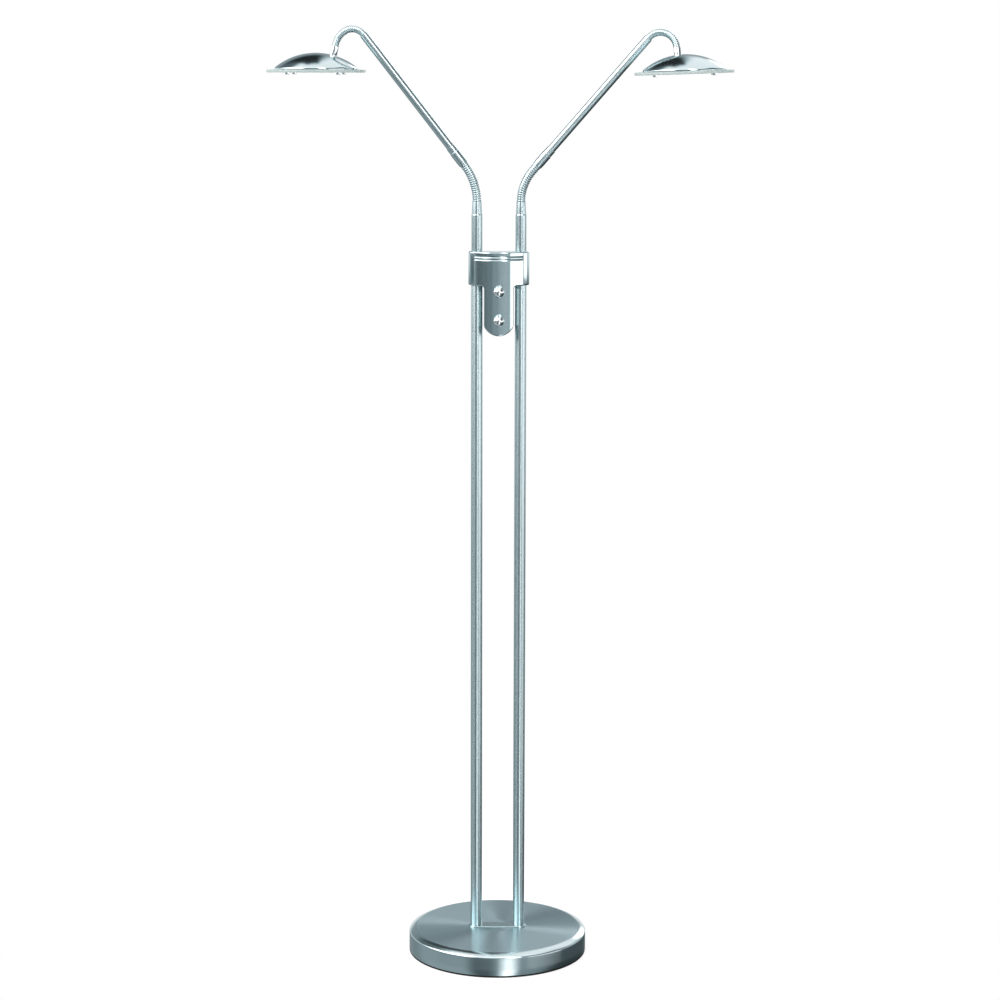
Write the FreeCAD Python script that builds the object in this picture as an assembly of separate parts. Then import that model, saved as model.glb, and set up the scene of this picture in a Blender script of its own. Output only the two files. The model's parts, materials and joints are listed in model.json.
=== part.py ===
import FreeCAD, Part
import math
import os

# Twin-arm reading floor lamp: round weighted base, two poles, a bracket with two dimmer knobs,
# and on each pole a flexible neck, an arm tube, a second flexible neck and a domed LED head.
# Millimetres. Origin: centre of the base on the floor. +Z up, knobs face -Y.

V = FreeCAD.Vector
X_AXIS = V(1, 0, 0)
Y_AXIS = V(0, 1, 0)
Z_AXIS = V(0, 0, 1)

# Clearances
slip_fit = 0.1  # radial, parts pushed into each other
run_fit = 0.05  # radial, shafts that turn
seat_gap = 0.1  # axial, stacked parts that are clamped or glued
lead_fit = 0.3  # radial, leads in their bores

# Base
base_radius = 125.0
base_height = 33.2
base_wall = 1.5
pad_height = 2.0
pad_inset = 1.0
shoulder_width = 10.4  # flat top to side, seen from above
shoulder_drop = 6.0
shoulder_start = 8.0  # degrees below level where the shoulder leaves the flat top
shoulder_break = 35.0  # degrees below level where the tight edge radius begins
weight_side_gap = 7.0
weight_thickness = 22.4
weight_chamfer = 6.0
pocket_depth = 10.0
pocket_half_width = 14.0
pocket_overlap = 14.0  # pocket beyond each pole axis
foot_plate_margin = 2.3
foot_plate_height = 2.0

# Cord inlet
inlet_height = 13.0
inlet_bore = 3.5
grommet_wall = 1.8
grommet_flange = 2.2
grommet_flange_thickness = 1.6
inlet_channel = 12.0

# Poles
pole_spacing = 60.0
pole_radius = 8.0
pole_wall = 1.2
pole_length = 932.8
plug_length = 14.0
stub_radius = 5.0
nut_across_flats = 17.0
nut_thickness = 6.0
stub_below_nut = 0.2
terminal_length = 24.0
terminal_width = 15.0
terminal_height = 15.8
lead_radius = 2.3
lead_bend = 7.0

# Sockets on top of the poles, which hold the lower necks
socket_radius = 7.6
socket_straight = 72.0
socket_shoulder = 0.5
socket_top_radius = 6.5
socket_taper = 18.3
spigot_length = 20.0

# Bracket
bracket_below_pole_top = 23.0
bracket_height = 46.0
bracket_wrap = 3.7  # metal round each pole
bracket_edge = 2.0
bracket_back_wall = 3.2
bracket_floor = 3.0
cavity_half_width = 18.5
cover_half_width = 34.8
cover_bulge = 26.0  # front of the cover, from the poles' plane
cover_wall = 1.5
groove_depth = 0.9
groove_half_width = 1.0
groove_below_top = 6.7
groove_pitch = 3.7
groove_count = 2
tongue_half_width = 20.3
tongue_below_knob = 21.7
tongue_end_radius = 23.0
tongue_split = 6.0  # cover's tongue ends this far in front of the poles' plane
tongue_back = 2.0  # rear of the tongue, behind the poles' plane
tongue_corner = 2.0
boss_radius = 3.5
boss_offset = 14.6
boss_drop = 7.0
screw_radius = 1.5
screw_head_radius = 2.8
screw_head_height = 1.6
clamp_screw_radius = 2.5
clamp_screw_drop = 8.0

# Dimmers and knobs
knob_drop = 7.0  # upper knob below the bracket
knob_pitch = 39.3
knob_radius = 7.5
knob_stand_off = 2.5  # ball to cover
dimmer_radius = 8.0
dimmer_depth = 10.0
dimmer_gap = 0.9
bush_radius = 3.5
bush_length = 4.8
bush_nut_radius = 4.8
bush_nut_height = 1.5
shaft_radius = 3.0
shaft_in_dimmer = 8.0
shaft_in_knob = 8.0
board_thickness = 1.6
board_half_width = 14.0
board_margin = 12.0
driver_half_width = 12.0
driver_depth = 15.0
driver_height = 34.0

# Lower necks
lower_rib_pitch = 3.0
lower_ribs = (6, 6, 6)
lower_crest = 6.1
lower_root = 5.7
lower_bore = 2.7
lower_tail = 12.6
lower_tail_radius = 5.8

# Sleeves and arms
sleeve_length = 30.0
sleeve_radius = 6.8
sleeve_collar_radius = 6.35
sleeve_collar_length = 9.0
sleeve_mouth_radius = 6.35
sleeve_mouth_length = 5.0
sleeve_socket_depth = 6.6
sleeve_web = 0.6
sleeve_screw_radius = 1.5
sleeve_screw_offsets = (3.0, 12.0)
sleeve_screw_sink = 0.15
sleeve_screw_tip = 3.6  # from the arm's axis
arm_radius = 5.7
arm_bore = 4.95
arm_tube_length = 211.5
arm_lip = 0.3

# Upper necks
upper_rib_pitch = 2.4
upper_ribs = (7, 8, 7)
upper_crest = 4.8
upper_root = 4.4
upper_bore = 2.6
upper_tail = 9.6
upper_tail_radius = 4.6
ferrule_radius = 5.1
ferrule_length = 12.0
ferrule_foot = 1.2

# Heads
dome_radius = 56.3
dome_wall = 1.2
dome_crown = 20.0
dome_rim = 2.4
neck_offset = 23.6  # neck fitting, from the dome's axis
stub_in_dome = 6.0
head_stub_radius = 3.9
head_nut_across_flats = 12.0
head_nut_thickness = 3.0
glass_overhang = 10.2
glass_thickness = 4.0
cap_inset = 4.3  # cap centres inside the dome's edge
cap_clock = 70.6  # degrees from the neck fitting to the long side of the caps' rectangle
cap_half_angle = 40.8
cap_radius = 3.0
cap_height = 2.6
cap_round = 0.8
cap_shank = 1.5
cap_thread = 3.6
post_radius = 2.6
pan_wall = 1.5
pan_lift = 0.1
pan_flange = 12.3
pan_rise = 5.9
led_board_inset = 18.3
led_board_thickness = 1.6
led_count = 12
led_inset = 6.0
led_size = 3.0
led_height = 0.8

# How each side is posed: lean and radius of the lower neck, depth of the arm tube in its sleeve,
# bends of the upper neck, direction of the neck fitting on the dome, and tilt of the head.
SIDES = {
    "left": {
        "sign": -1.0, "lean": 37.9, "lower_bend_radius": 79.0, "arm_pushed_in": 22.0,
        "first_radius": 18.9, "first_turn": 78.0, "second_radius": 26.4,
        "neck_clock": 17.0, "head_tilt": 0.0,
    },
    "right": {
        "sign": 1.0, "lean": 41.1, "lower_bend_radius": 63.7, "arm_pushed_in": 14.0,
        "first_radius": 20.9, "first_turn": 66.0, "second_radius": 24.4,
        "neck_clock": 106.5, "head_tilt": -2.1,
    },
}

# Derived values
pole_x = pole_spacing / 2
side_height = base_height - shoulder_drop
flat_radius = base_radius - shoulder_width
weight_top = base_height - base_wall - seat_gap
weight_bottom = weight_top - weight_thickness
pocket_top = weight_bottom + pocket_depth
pole_bottom = base_height + foot_plate_height
pole_top = pole_bottom + pole_length
socket_taper_start = pole_top + socket_straight
socket_top = socket_taper_start + socket_taper
bracket_bottom = pole_top - bracket_below_pole_top
clamp_screw_height = pole_top - clamp_screw_drop
stub_bottom = pocket_top - nut_thickness - stub_below_nut
bracket_top = bracket_bottom + bracket_height
knob_heights = {"upper": bracket_bottom - knob_drop, "lower": bracket_bottom - knob_drop - knob_pitch}
tongue_bottom = knob_heights["lower"] - tongue_below_knob
wrap_radius = pole_radius + bracket_wrap
cover_back = math.sqrt(wrap_radius**2 - (cover_half_width - pole_x) ** 2)
cover_sagitta = cover_bulge - cover_back
cover_radius = (cover_half_width**2 + cover_sagitta**2) / (2 * cover_sagitta)
cover_centre = cover_radius - cover_bulge  # of the cover's front arc, behind the poles' plane
lower_neck_length = sum(lower_ribs) * lower_rib_pitch
for side_values in SIDES.values():
    side_values["arm_free"] = arm_tube_length - side_values["arm_pushed_in"]
upper_neck_length = sum(upper_ribs) * upper_rib_pitch
dome_sphere = (dome_radius**2 + dome_crown**2) / (2 * dome_crown)
dome_centre = dome_rim + dome_crown - dome_sphere
glass_radius = dome_radius + glass_overhang
cap_circle = dome_radius - cap_inset
pan_flange_inner = dome_radius - pan_flange
led_board_radius = dome_radius - led_board_inset
led_circle = led_board_radius - led_inset
neck_slope = math.degrees(math.asin(neck_offset / dome_sphere))


def cylinder(radius, height, base=V(0, 0, 0), axis=Z_AXIS):
    """A solid cylinder from base along axis."""
    return Part.makeCylinder(radius, height, base, axis)


def box(low, high):
    """A block between two corners."""
    size = high - low
    return Part.makeBox(size.x, size.y, size.z, low)


def frame_at(point, z_dir, x_dir):
    """The placement with its origin at point, z along z_dir and x near x_dir."""
    z = V(z_dir).normalize()
    y = z.cross(x_dir).normalize()
    x = y.cross(z)
    return FreeCAD.Placement(point, FreeCAD.Rotation(x, y, z, "ZXY"))


def placed(shape, placement):
    """A copy of shape moved by placement."""
    return shape.transformed(placement.toMatrix(), True)


def spin(points):
    """The solid that a closed outline in the XZ plane sweeps about Z."""
    outline = [V(x, 0, z) for x, z in points]
    face = Part.Face(Part.makePolygon(outline + [outline[0]]))
    return face.revolve(V(0, 0, 0), Z_AXIS, 360)


def spin_edges(edges):
    """The solid that closed edges in the XZ plane sweep about Z."""
    return Part.Face(Part.Wire(edges)).revolve(V(0, 0, 0), Z_AXIS, 360)


def hexagon(across_flats, height, bore):
    """A hexagonal nut standing on the XY plane."""
    corner = across_flats / math.sqrt(3)
    ring = [V(corner * math.cos(math.radians(a)), corner * math.sin(math.radians(a)), 0) for a in range(0, 361, 60)]
    nut = Part.Face(Part.makePolygon(ring)).extrude(V(0, 0, height))
    return nut.cut(cylinder(bore, height))


def line(a, b):
    return Part.LineSegment(a, b).toShape()


def arc(a, middle, b):
    return Part.Arc(a, middle, b).toShape()


def export(name, shape):
    """Writes one node."""
    shape.exportStep("parts/" + name + ".step")
    print(name, "solids", len(shape.Solids), "valid", shape.isValid(), "volume", round(shape.Volume, 1))


class Route:
    """A centreline of straight runs and arcs in one plane, with distances measured along it."""

    def __init__(self, start, direction, normal):
        self.normal = V(normal).normalize()
        self.knots = [(0.0, V(start), V(direction).normalize(), None)]
        self.length = 0.0

    def _end(self):
        return self.at(self.length)

    def run(self, length):
        point, tangent = self._end()
        self.knots.append((self.length, point, tangent, None))
        self.length += length
        return self

    def bend(self, radius, degrees):
        point, tangent = self._end()
        self.knots.append((self.length, point, tangent, radius))
        self.length += radius * math.radians(degrees)
        return self

    def at(self, distance):
        """The point and the direction at a distance from the start."""
        start, point, tangent, radius = [k for k in self.knots if k[0] <= max(distance, 0.0) + 1e-9][-1]
        along = distance - start
        if radius is None or along < 0:
            return point + tangent * along, tangent
        centre = point + self.normal.cross(tangent) * radius
        turn = FreeCAD.Rotation(self.normal, math.degrees(along / radius))
        return centre + turn.multVec(point - centre), turn.multVec(tangent)

    def ring(self, distance, radius):
        """A circle round the route."""
        point, tangent = self.at(distance)
        wire = Part.Wire([Part.makeCircle(radius)])
        wire.Placement = frame_at(point, tangent, self.normal)
        return wire


def ribbed_hose(route, start, ribs, pitch, crest, root, bore, tail=None):
    """One stretch of flexible neck. tail is (length, radius), before the ribs if length is negative."""
    stations = []
    for i in range(ribs):
        s = start + i * pitch
        stations += [(s, root), (s + 0.25 * pitch, crest), (s + 0.65 * pitch, crest), (s + 0.9 * pitch, root)]
    end = start + ribs * pitch
    stations.append((end, root))
    low, high = start, end
    if tail:
        length, radius = tail
        if length < 0:
            low = start + length
            stations = [(low, radius), (start - 0.05, radius)] + stations
        else:
            high = end + length
            stations = stations + [(end + 0.05, radius), (high, radius)]
    skin = Part.makeLoft([route.ring(s, r) for s, r in stations], True, True)
    over = 0.5
    steps = max(2, round((high - low) / pitch))
    spots = [low - over] + [low + (high - low) * k / steps for k in range(1, steps)] + [high + over]
    core = Part.makeLoft([route.ring(s, bore) for s in spots], True, True)
    return skin.cut(core)


# ---------------------------------------------------------------- base

def shoulder_arcs():
    """The two radii of the base's shoulder, which meet tangent to each other."""
    a, b = math.radians(shoulder_start), math.radians(shoulder_break)
    p, q = math.sin(b) - math.sin(a), 1 - math.sin(b)
    r, t = math.cos(a) - math.cos(b), math.cos(b)
    edge = (r * shoulder_width - p * shoulder_drop) / (r * q - p * t)
    broad = (shoulder_width - q * edge) / p
    return broad, edge


def base_cover():
    """Spun steel cover with a flat top, a rounded shoulder and a straight side."""
    broad, edge = shoulder_arcs()
    a, b = math.radians(shoulder_start), math.radians(shoulder_break)
    broad_centre = V(flat_radius - broad * math.sin(a), 0, base_height - broad * math.cos(a))
    edge_centre = V(base_radius - edge, 0, side_height)

    def on(centre, radius, angle):
        return centre + V(radius * math.sin(angle), 0, radius * math.cos(angle))

    inner = base_radius - base_wall
    outline = [
        line(V(0, 0, base_height), V(flat_radius, 0, base_height)),
        arc(V(flat_radius, 0, base_height), on(broad_centre, broad, (a + b) / 2), on(broad_centre, broad, b)),
        arc(on(broad_centre, broad, b), on(edge_centre, edge, (b + math.pi / 2) / 2), V(base_radius, 0, side_height)),
        line(V(base_radius, 0, side_height), V(base_radius, 0, pad_height)),
        line(V(base_radius, 0, pad_height), V(inner, 0, pad_height)),
        line(V(inner, 0, pad_height), V(inner, 0, side_height - base_wall)),
        line(V(inner, 0, side_height - base_wall), V(flat_radius - base_wall, 0, base_height - base_wall)),
        line(V(flat_radius - base_wall, 0, base_height - base_wall), V(0, 0, base_height - base_wall)),
        line(V(0, 0, base_height - base_wall), V(0, 0, base_height)),
    ]
    cover = spin_edges(outline)
    for x in (-pole_x, pole_x):
        cover = cover.cut(cylinder(stub_radius + slip_fit, base_height, V(x, 0, 0)))
    return cover.cut(cylinder(grommet_outer, 20, V(0, base_radius - 10, inlet_height), Y_AXIS))


grommet_outer = inlet_bore + grommet_wall


def base_weight():
    """Cast iron disc with a pocket under the poles and a channel to the cord inlet."""
    radius = base_radius - weight_side_gap
    disc = spin([
        (0, weight_bottom), (radius, weight_bottom), (radius, weight_top - weight_chamfer),
        (radius - weight_chamfer, weight_top), (0, weight_top),
    ])
    reach = pole_x + pocket_overlap
    disc = disc.cut(box(V(-reach, -pocket_half_width, 0), V(reach, pocket_half_width, pocket_top)))
    half = inlet_channel / 2
    disc = disc.cut(box(V(-half, 0, 0), V(half, base_radius, inlet_height + half)))
    for x in (-pole_x, pole_x):
        disc = disc.cut(cylinder(stub_radius + slip_fit, base_height, V(x, 0, 0)))
    return disc


def base_pad():
    """Black rubber disc that the lamp stands on; its edge shows as a ring."""
    radius = base_radius - pad_inset
    return spin([(0, 0), (radius - 0.4, 0), (radius, 0.4), (radius, pad_height), (0, pad_height)])


def cord_grommet():
    """Rubber bush in the rear of the base, where a cord would enter."""
    flange = grommet_outer + grommet_flange
    thick = grommet_flange_thickness
    seat = base_radius + 0.05
    back = base_radius - base_wall - 0.5
    bush = cylinder(grommet_outer - slip_fit, seat + thick - back + thick, V(0, back - thick, inlet_height), Y_AXIS)
    bush = bush.fuse(cylinder(flange, thick, V(0, seat, inlet_height), Y_AXIS))
    bush = bush.fuse(cylinder(flange, thick, V(0, back - thick, inlet_height), Y_AXIS))
    return bush.cut(cylinder(inlet_bore, base_radius, V(0, back - 3 * thick, inlet_height), Y_AXIS))


def foot_plate():
    """Plate with round ends under both poles."""
    radius = pole_radius + foot_plate_margin
    z = base_height
    slab = box(V(-pole_x, -radius, z), V(pole_x, radius, z + foot_plate_height))
    for x in (-pole_x, pole_x):
        slab = slab.fuse(cylinder(radius, foot_plate_height, V(x, 0, z)))
    slab = slab.removeSplitter()
    rim = [e for e in slab.Edges if e.BoundBox.ZMin > z + foot_plate_height - 0.01]
    slab = slab.makeFillet(0.4, rim)
    for x in (-pole_x, pole_x):
        slab = slab.cut(cylinder(stub_radius + slip_fit, foot_plate_height * 2, V(x, 0, z - 1)))
    return slab


def pole(x):
    """Steel tube with a plug and a hollow threaded stub at its foot."""
    tube = spin([
        (lead_radius + lead_fit, stub_bottom), (stub_radius, stub_bottom), (stub_radius, pole_bottom),
        (pole_radius, pole_bottom), (pole_radius, pole_top), (pole_radius - pole_wall, pole_top),
        (pole_radius - pole_wall, pole_bottom + plug_length), (lead_radius + lead_fit, pole_bottom + plug_length),
    ])
    return placed(tube, FreeCAD.Placement(V(x, 0, 0), FreeCAD.Rotation()))


def pole_nuts():
    nut = hexagon(nut_across_flats, nut_thickness, stub_radius + slip_fit)
    return Part.makeCompound([
        placed(nut, FreeCAD.Placement(V(x, 0, pocket_top - nut_thickness), FreeCAD.Rotation())) for x in (-pole_x, pole_x)
    ])


def terminal_block():
    """Moulded block with three screw wells, under the middle of the weight."""
    low = V(-terminal_length / 2, -terminal_width / 2, pocket_top - terminal_height)
    block = box(low, V(terminal_length / 2, terminal_width / 2, pocket_top))
    for i in (-1, 0, 1):
        block = block.cut(cylinder(2.0, 5.0, V(i * terminal_length / 3.4, 0, low.z)))
    return block


def pole_leads():
    """One lead up each pole: out of the terminal block, round into the stub and up to the neck."""
    leads = []
    level = stub_bottom - lead_bend
    top = socket_top - 1.0
    for sign in (-1, 1):
        a = V(sign * terminal_length / 2, 0, level)
        b = V(sign * (pole_x - lead_bend), 0, level)
        c = V(sign * pole_x, 0, stub_bottom)
        turn = lead_bend * (1 - math.cos(math.pi / 4))
        middle = V(sign * (pole_x - turn), 0, level + turn)
        path = Part.Wire([line(a, b), arc(b, middle, c), line(c, V(sign * pole_x, 0, top))])
        profile = Part.Wire([Part.makeCircle(lead_radius, a, X_AXIS * sign)])
        lead = path.makePipeShell([profile], True, False)
        expected = math.pi * lead_radius**2 * path.Length
        print("pole lead volume share", round(lead.Volume / expected, 4))
        leads.append(lead)
    return Part.makeCompound(leads)


# ---------------------------------------------------------------- bracket

def tongue_outline(half_width, bottom, end_radius, top):
    """Front view of the tongue as a face in the XZ plane at y = 0."""
    corner = bottom + end_radius - math.sqrt(end_radius**2 - half_width**2)
    a, b = V(-half_width, 0, corner), V(half_width, 0, corner)
    c, d = V(half_width, 0, top), V(-half_width, 0, top)
    return Part.Face(Part.Wire([arc(a, V(0, 0, bottom), b), line(b, c), line(c, d), line(d, a)]))


def tongue_block(inset, front, back, top):
    """The tongue's outline, drawn in by inset, as a block between two depths."""
    face = tongue_outline(tongue_half_width - inset, tongue_bottom + inset, tongue_end_radius - inset, top)
    block = face.extrude(V(0, back - front, 0))
    block.translate(V(0, front, 0))
    return block


def lens(inset, bottom, top):
    """The cover's plan, drawn in by inset: an arc in front and a straight back, as a block."""
    radius = cover_radius - inset
    back = -cover_back + (0.0 if inset == 0 else 1.0)
    half = cover_half_width - inset
    reach = -(math.sqrt(radius**2 - half**2) - cover_centre)
    a, b = V(-half, reach, bottom), V(half, reach, bottom)
    front = V(0, cover_centre - radius, bottom)
    edges = [arc(a, front, b), line(b, V(half, back, bottom)), line(V(half, back, bottom), V(-half, back, bottom)),
             line(V(-half, back, bottom), a)]
    edges = [e for e in edges if e.Length > 1e-6]
    return Part.Face(Part.Wire(edges)).extrude(V(0, 0, top - bottom))


def cover_arc_block(inset, bottom, top):
    """Everything behind the cover's front surface, drawn in by inset."""
    return cylinder(cover_radius - inset, top - bottom, V(0, cover_centre, bottom))


def bracket_cover():
    """Curved front cover with two grooves, a tongue and bosses for its screws."""
    shell = lens(0, bracket_bottom, bracket_top)
    shell = shell.cut(lens(cover_wall, bracket_bottom + cover_wall, bracket_top - cover_wall))
    depth = cover_bulge + 1
    low = tongue_bottom - 1
    skin = tongue_block(0, -depth, -tongue_split, bracket_bottom + cover_wall)
    skin = skin.common(cover_arc_block(0, low, bracket_top))
    hollow = tongue_block(cover_wall, -depth, 0, bracket_top - cover_wall)
    hollow = hollow.common(cover_arc_block(cover_wall, low, bracket_top))
    shell = shell.fuse(skin).removeSplitter()
    sides = [
        e for e in shell.Edges
        if abs(abs(e.CenterOfMass.x) - tongue_half_width) < 0.01 and abs(e.CenterOfMass.z - bracket_bottom) < 0.01
        and e.Length > 4
    ]
    if sides:
        shell = shell.makeFillet(tongue_corner, sides)
    shell = shell.cut(hollow)
    for i in range(groove_count):
        z = bracket_top - groove_below_top - i * groove_pitch
        r = cover_radius
        vee = spin([(r + 1, z - groove_half_width * 2), (r - groove_depth, z), (r + 1, z + groove_half_width * 2)])
        vee.translate(V(0, cover_centre, 0))
        shell = shell.cut(vee)
    for z in knob_heights.values():
        shell = shell.cut(cylinder(bush_radius + slip_fit, cover_bulge, V(0, -cover_bulge - 5, z), Y_AXIS))
    for x in (-boss_offset, boss_offset):
        boss = cylinder(boss_radius, cover_bulge + wrap_radius, V(x, -cover_bulge, bracket_top - boss_drop), Y_AXIS)
        boss = boss.common(cover_arc_block(cover_wall / 2, bracket_bottom, bracket_top))
        back = wrap_radius - bracket_back_wall - seat_gap
        boss = boss.common(box(V(-50, -50, bracket_bottom), V(50, back, bracket_top)))
        shell = shell.fuse(boss)
        shell = shell.cut(cylinder(screw_radius + 0.05, 10, V(x, back - 9, bracket_top - boss_drop), Y_AXIS))
    return shell.removeSplitter()


def bracket_body():
    """Rear housing that wraps both poles and closes the tongue from behind."""
    block = box(V(-pole_x, -wrap_radius, bracket_bottom), V(pole_x, wrap_radius, bracket_top))
    for x in (-pole_x, pole_x):
        block = block.fuse(cylinder(wrap_radius, bracket_height, V(x, 0, bracket_bottom)))
    block = block.removeSplitter()
    rims = [e for e in block.Edges if e.BoundBox.ZLength < 0.01]
    block = block.makeFillet(bracket_edge, rims)
    front = -tongue_split + seat_gap
    tongue = tongue_block(0, front, tongue_back, bracket_bottom + 1)
    block = block.fuse(tongue)
    cavity_back = wrap_radius - bracket_back_wall
    block = block.cut(box(
        V(-cavity_half_width, -wrap_radius, bracket_bottom + bracket_floor),
        V(cavity_half_width, cavity_back, bracket_top - bracket_floor)))
    inner = tongue_block(cover_wall, -wrap_radius - 1, tongue_back - cover_wall, bracket_top - bracket_floor)
    block = block.cut(inner)
    cover_room = lens(0, bracket_bottom - 1, bracket_top + 1)
    cover_room.translate(V(0, seat_gap, 0))
    block = block.cut(cover_room)
    front_tongue = tongue_block(-seat_gap, -wrap_radius - 1, front, bracket_bottom + bracket_floor)
    block = block.cut(front_tongue)
    for x in (-pole_x, pole_x):
        block = block.cut(cylinder(pole_radius + slip_fit, bracket_height, V(x, 0, bracket_bottom)))
        block = block.cut(cylinder(clamp_screw_radius + 0.05, wrap_radius, V(x, 0, clamp_screw_height), Y_AXIS))
    for x in (-boss_offset, boss_offset):
        z = bracket_top - boss_drop
        block = block.cut(cylinder(screw_radius + slip_fit, 20, V(x, cavity_back - 1, z), Y_AXIS))
        block = block.cut(cylinder(screw_head_radius + slip_fit, 5, V(x, wrap_radius - screw_head_height, z), Y_AXIS))
    return block


def bracket_screws():
    screws = []
    for x in (-boss_offset, boss_offset):
        z = bracket_top - boss_drop
        head_seat = wrap_radius - screw_head_height
        tip = wrap_radius - bracket_back_wall - seat_gap - 8
        shank = cylinder(screw_radius, head_seat - tip, V(x, tip, z), Y_AXIS)
        head = cylinder(screw_head_radius, screw_head_height, V(x, head_seat, z), Y_AXIS)
        cross = box(V(x - 1.6, wrap_radius - 0.8, z - 0.35), V(x + 1.6, wrap_radius + 1, z + 0.35))
        cross = cross.fuse(box(V(x - 0.35, wrap_radius - 0.8, z - 1.6), V(x + 0.35, wrap_radius + 1, z + 1.6)))
        screws.append(shank.fuse(head).cut(cross))
    return Part.makeCompound(screws)


def clamp_screws():
    """Socket set screws that hold the bracket on the poles, from behind."""
    screws = []
    for x in (-pole_x, pole_x):
        y = pole_radius + 0.05
        z = clamp_screw_height
        screw = cylinder(clamp_screw_radius, wrap_radius - 0.4 - y, V(x, y, z), Y_AXIS)
        key = placed(hexagon(2.5, 2.0, 0.01), frame_at(V(x, wrap_radius - 2.0, z), Y_AXIS, X_AXIS))
        screws.append(screw.cut(Part.makeSolid(Part.Shell(key.Faces)) if not key.Solids else key))
    return Part.makeCompound(screws)


dimmer_front = -cover_bulge + cover_wall + dimmer_gap
dimmer_back = dimmer_front + dimmer_depth


def dimmer(z):
    """Rotary dimmer with a threaded bush that passes through the cover."""
    body = cylinder(dimmer_radius, dimmer_depth, V(0, dimmer_front, z), Y_AXIS)
    body = body.fuse(cylinder(bush_radius, bush_length, V(0, dimmer_front - bush_length, z), Y_AXIS))
    bore = cylinder(shaft_radius + run_fit, bush_length + shaft_in_dimmer, V(0, dimmer_front - bush_length, z), Y_AXIS)
    return body.cut(bore)


def dimmer_nuts():
    nuts = []
    for z in knob_heights.values():
        seat = -cover_bulge - 0.05
        nut = cylinder(bush_nut_radius, bush_nut_height, V(0, seat - bush_nut_height, z), Y_AXIS)
        nuts.append(nut.cut(cylinder(bush_radius + 0.03, 10, V(0, seat - 5, z), Y_AXIS)))
    return Part.makeCompound(nuts)


knob_centre = -cover_bulge - knob_stand_off - knob_radius


def dimmer_shaft(z):
    start = knob_centre - knob_radius + knob_radius * 2 - shaft_in_knob
    end = dimmer_front + shaft_in_dimmer - 0.2
    return cylinder(shaft_radius, end - start, V(0, start, z), Y_AXIS)


def knob(z):
    """Ball knob with a blind bore for the dimmer's shaft."""
    ball = Part.makeSphere(knob_radius, V(0, knob_centre, z))
    rear = knob_centre + knob_radius
    flat = box(V(-10, rear - 0.4, z - 10), V(10, rear + 1, z + 10))
    bore = cylinder(shaft_radius + 0.02, shaft_in_knob + 0.1, V(0, rear - shaft_in_knob - 0.1, z), Y_AXIS)
    return ball.cut(flat).cut(bore)


def dimmer_board():
    """Circuit board behind both dimmers."""
    low = min(knob_heights.values()) - board_margin
    high = max(knob_heights.values()) + board_margin
    return box(V(-board_half_width, dimmer_back, low), V(board_half_width, dimmer_back + board_thickness, high))


def led_driver():
    """Potted driver in the bracket, on the rear wall."""
    back = wrap_radius - bracket_back_wall
    bottom = bracket_bottom + bracket_floor
    pack = box(V(-driver_half_width + 1.5, back - driver_depth, bottom),
               V(driver_half_width - 1.5, back, bottom + driver_height))
    ears = box(V(-driver_half_width, back - 2, bottom), V(driver_half_width, back, bottom + driver_height / 3))
    return pack.fuse(ears).removeSplitter()


# ---------------------------------------------------------------- necks and arms

def neck_socket(x):
    """Turned socket in the pole's top; its bore takes the lower neck's tail."""
    tail_bore = lower_tail_radius + slip_fit
    spigot = pole_radius - pole_wall - slip_fit
    start = pole_top + seat_gap
    taper = socket_radius - socket_shoulder
    body = spin([
        (lead_radius + lead_fit, start - spigot_length), (spigot, start - spigot_length), (spigot, start),
        (socket_radius, start), (socket_radius, socket_taper_start), (taper, socket_taper_start + 1.5),
        (socket_top_radius, socket_top - 0.3), (socket_top_radius - 0.3, socket_top), (tail_bore, socket_top),
        (tail_bore, socket_top - lower_tail - seat_gap), (lead_radius + lead_fit, socket_top - lower_tail - seat_gap),
    ])
    return placed(body, FreeCAD.Placement(V(x, 0, 0), FreeCAD.Rotation()))


def lower_route(side):
    """Centreline of the lower neck and the arm, from the socket's mouth."""
    sign = side["sign"]
    route = Route(V(sign * pole_x, 0, socket_top), Z_AXIS, Y_AXIS * sign)
    route.bend(side["lower_bend_radius"], side["lean"])
    route.run(lower_neck_length - route.length)
    route.run(sleeve_length + side["arm_free"])
    return route


def sleeve(placement):
    """Sleeve that joins the lower neck to the arm tube."""
    tail_bore = lower_tail_radius + slip_fit
    arm_seat = sleeve_socket_depth + sleeve_web
    step = sleeve_length - sleeve_collar_length
    body = spin([
        (tail_bore, 0), (sleeve_mouth_radius - 0.2, 0), (sleeve_mouth_radius, 0.3), (sleeve_radius, sleeve_mouth_length),
        (sleeve_radius, step - 0.5), (sleeve_collar_radius, step), (sleeve_collar_radius, sleeve_length - 0.5),
        (arm_radius + slip_fit + 0.15, sleeve_length), (arm_radius + slip_fit, sleeve_length),
        (arm_radius + slip_fit, arm_seat), (lead_radius + lead_fit, arm_seat),
        (lead_radius + lead_fit, sleeve_socket_depth + seat_gap), (tail_bore, sleeve_socket_depth + seat_gap),
    ])
    for offset in sleeve_screw_offsets:
        hole = cylinder(sleeve_screw_radius + 0.03, sleeve_radius + 1, V(0, 0, sleeve_length - offset), V(0, -1, 0))
        body = body.cut(hole)
    return placed(body, placement)


def sleeve_screws(placement):
    """Grub screws that lock the arm tube in the sleeve, facing forward."""
    screws = []
    for offset in sleeve_screw_offsets:
        outer = sleeve_collar_radius if offset < sleeve_collar_length else sleeve_radius
        start = sleeve_screw_tip
        z = sleeve_length - offset
        length = outer - sleeve_screw_sink - start
        screw = cylinder(sleeve_screw_radius, length, V(0, -start, z), V(0, -1, 0))
        slot = box(V(-0.25, -outer - 1, z - 2), V(0.25, -outer + sleeve_screw_sink + 0.35, z + 2))
        screws.append(placed(screw.cut(slot), placement))
    return Part.makeCompound(screws)


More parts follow.
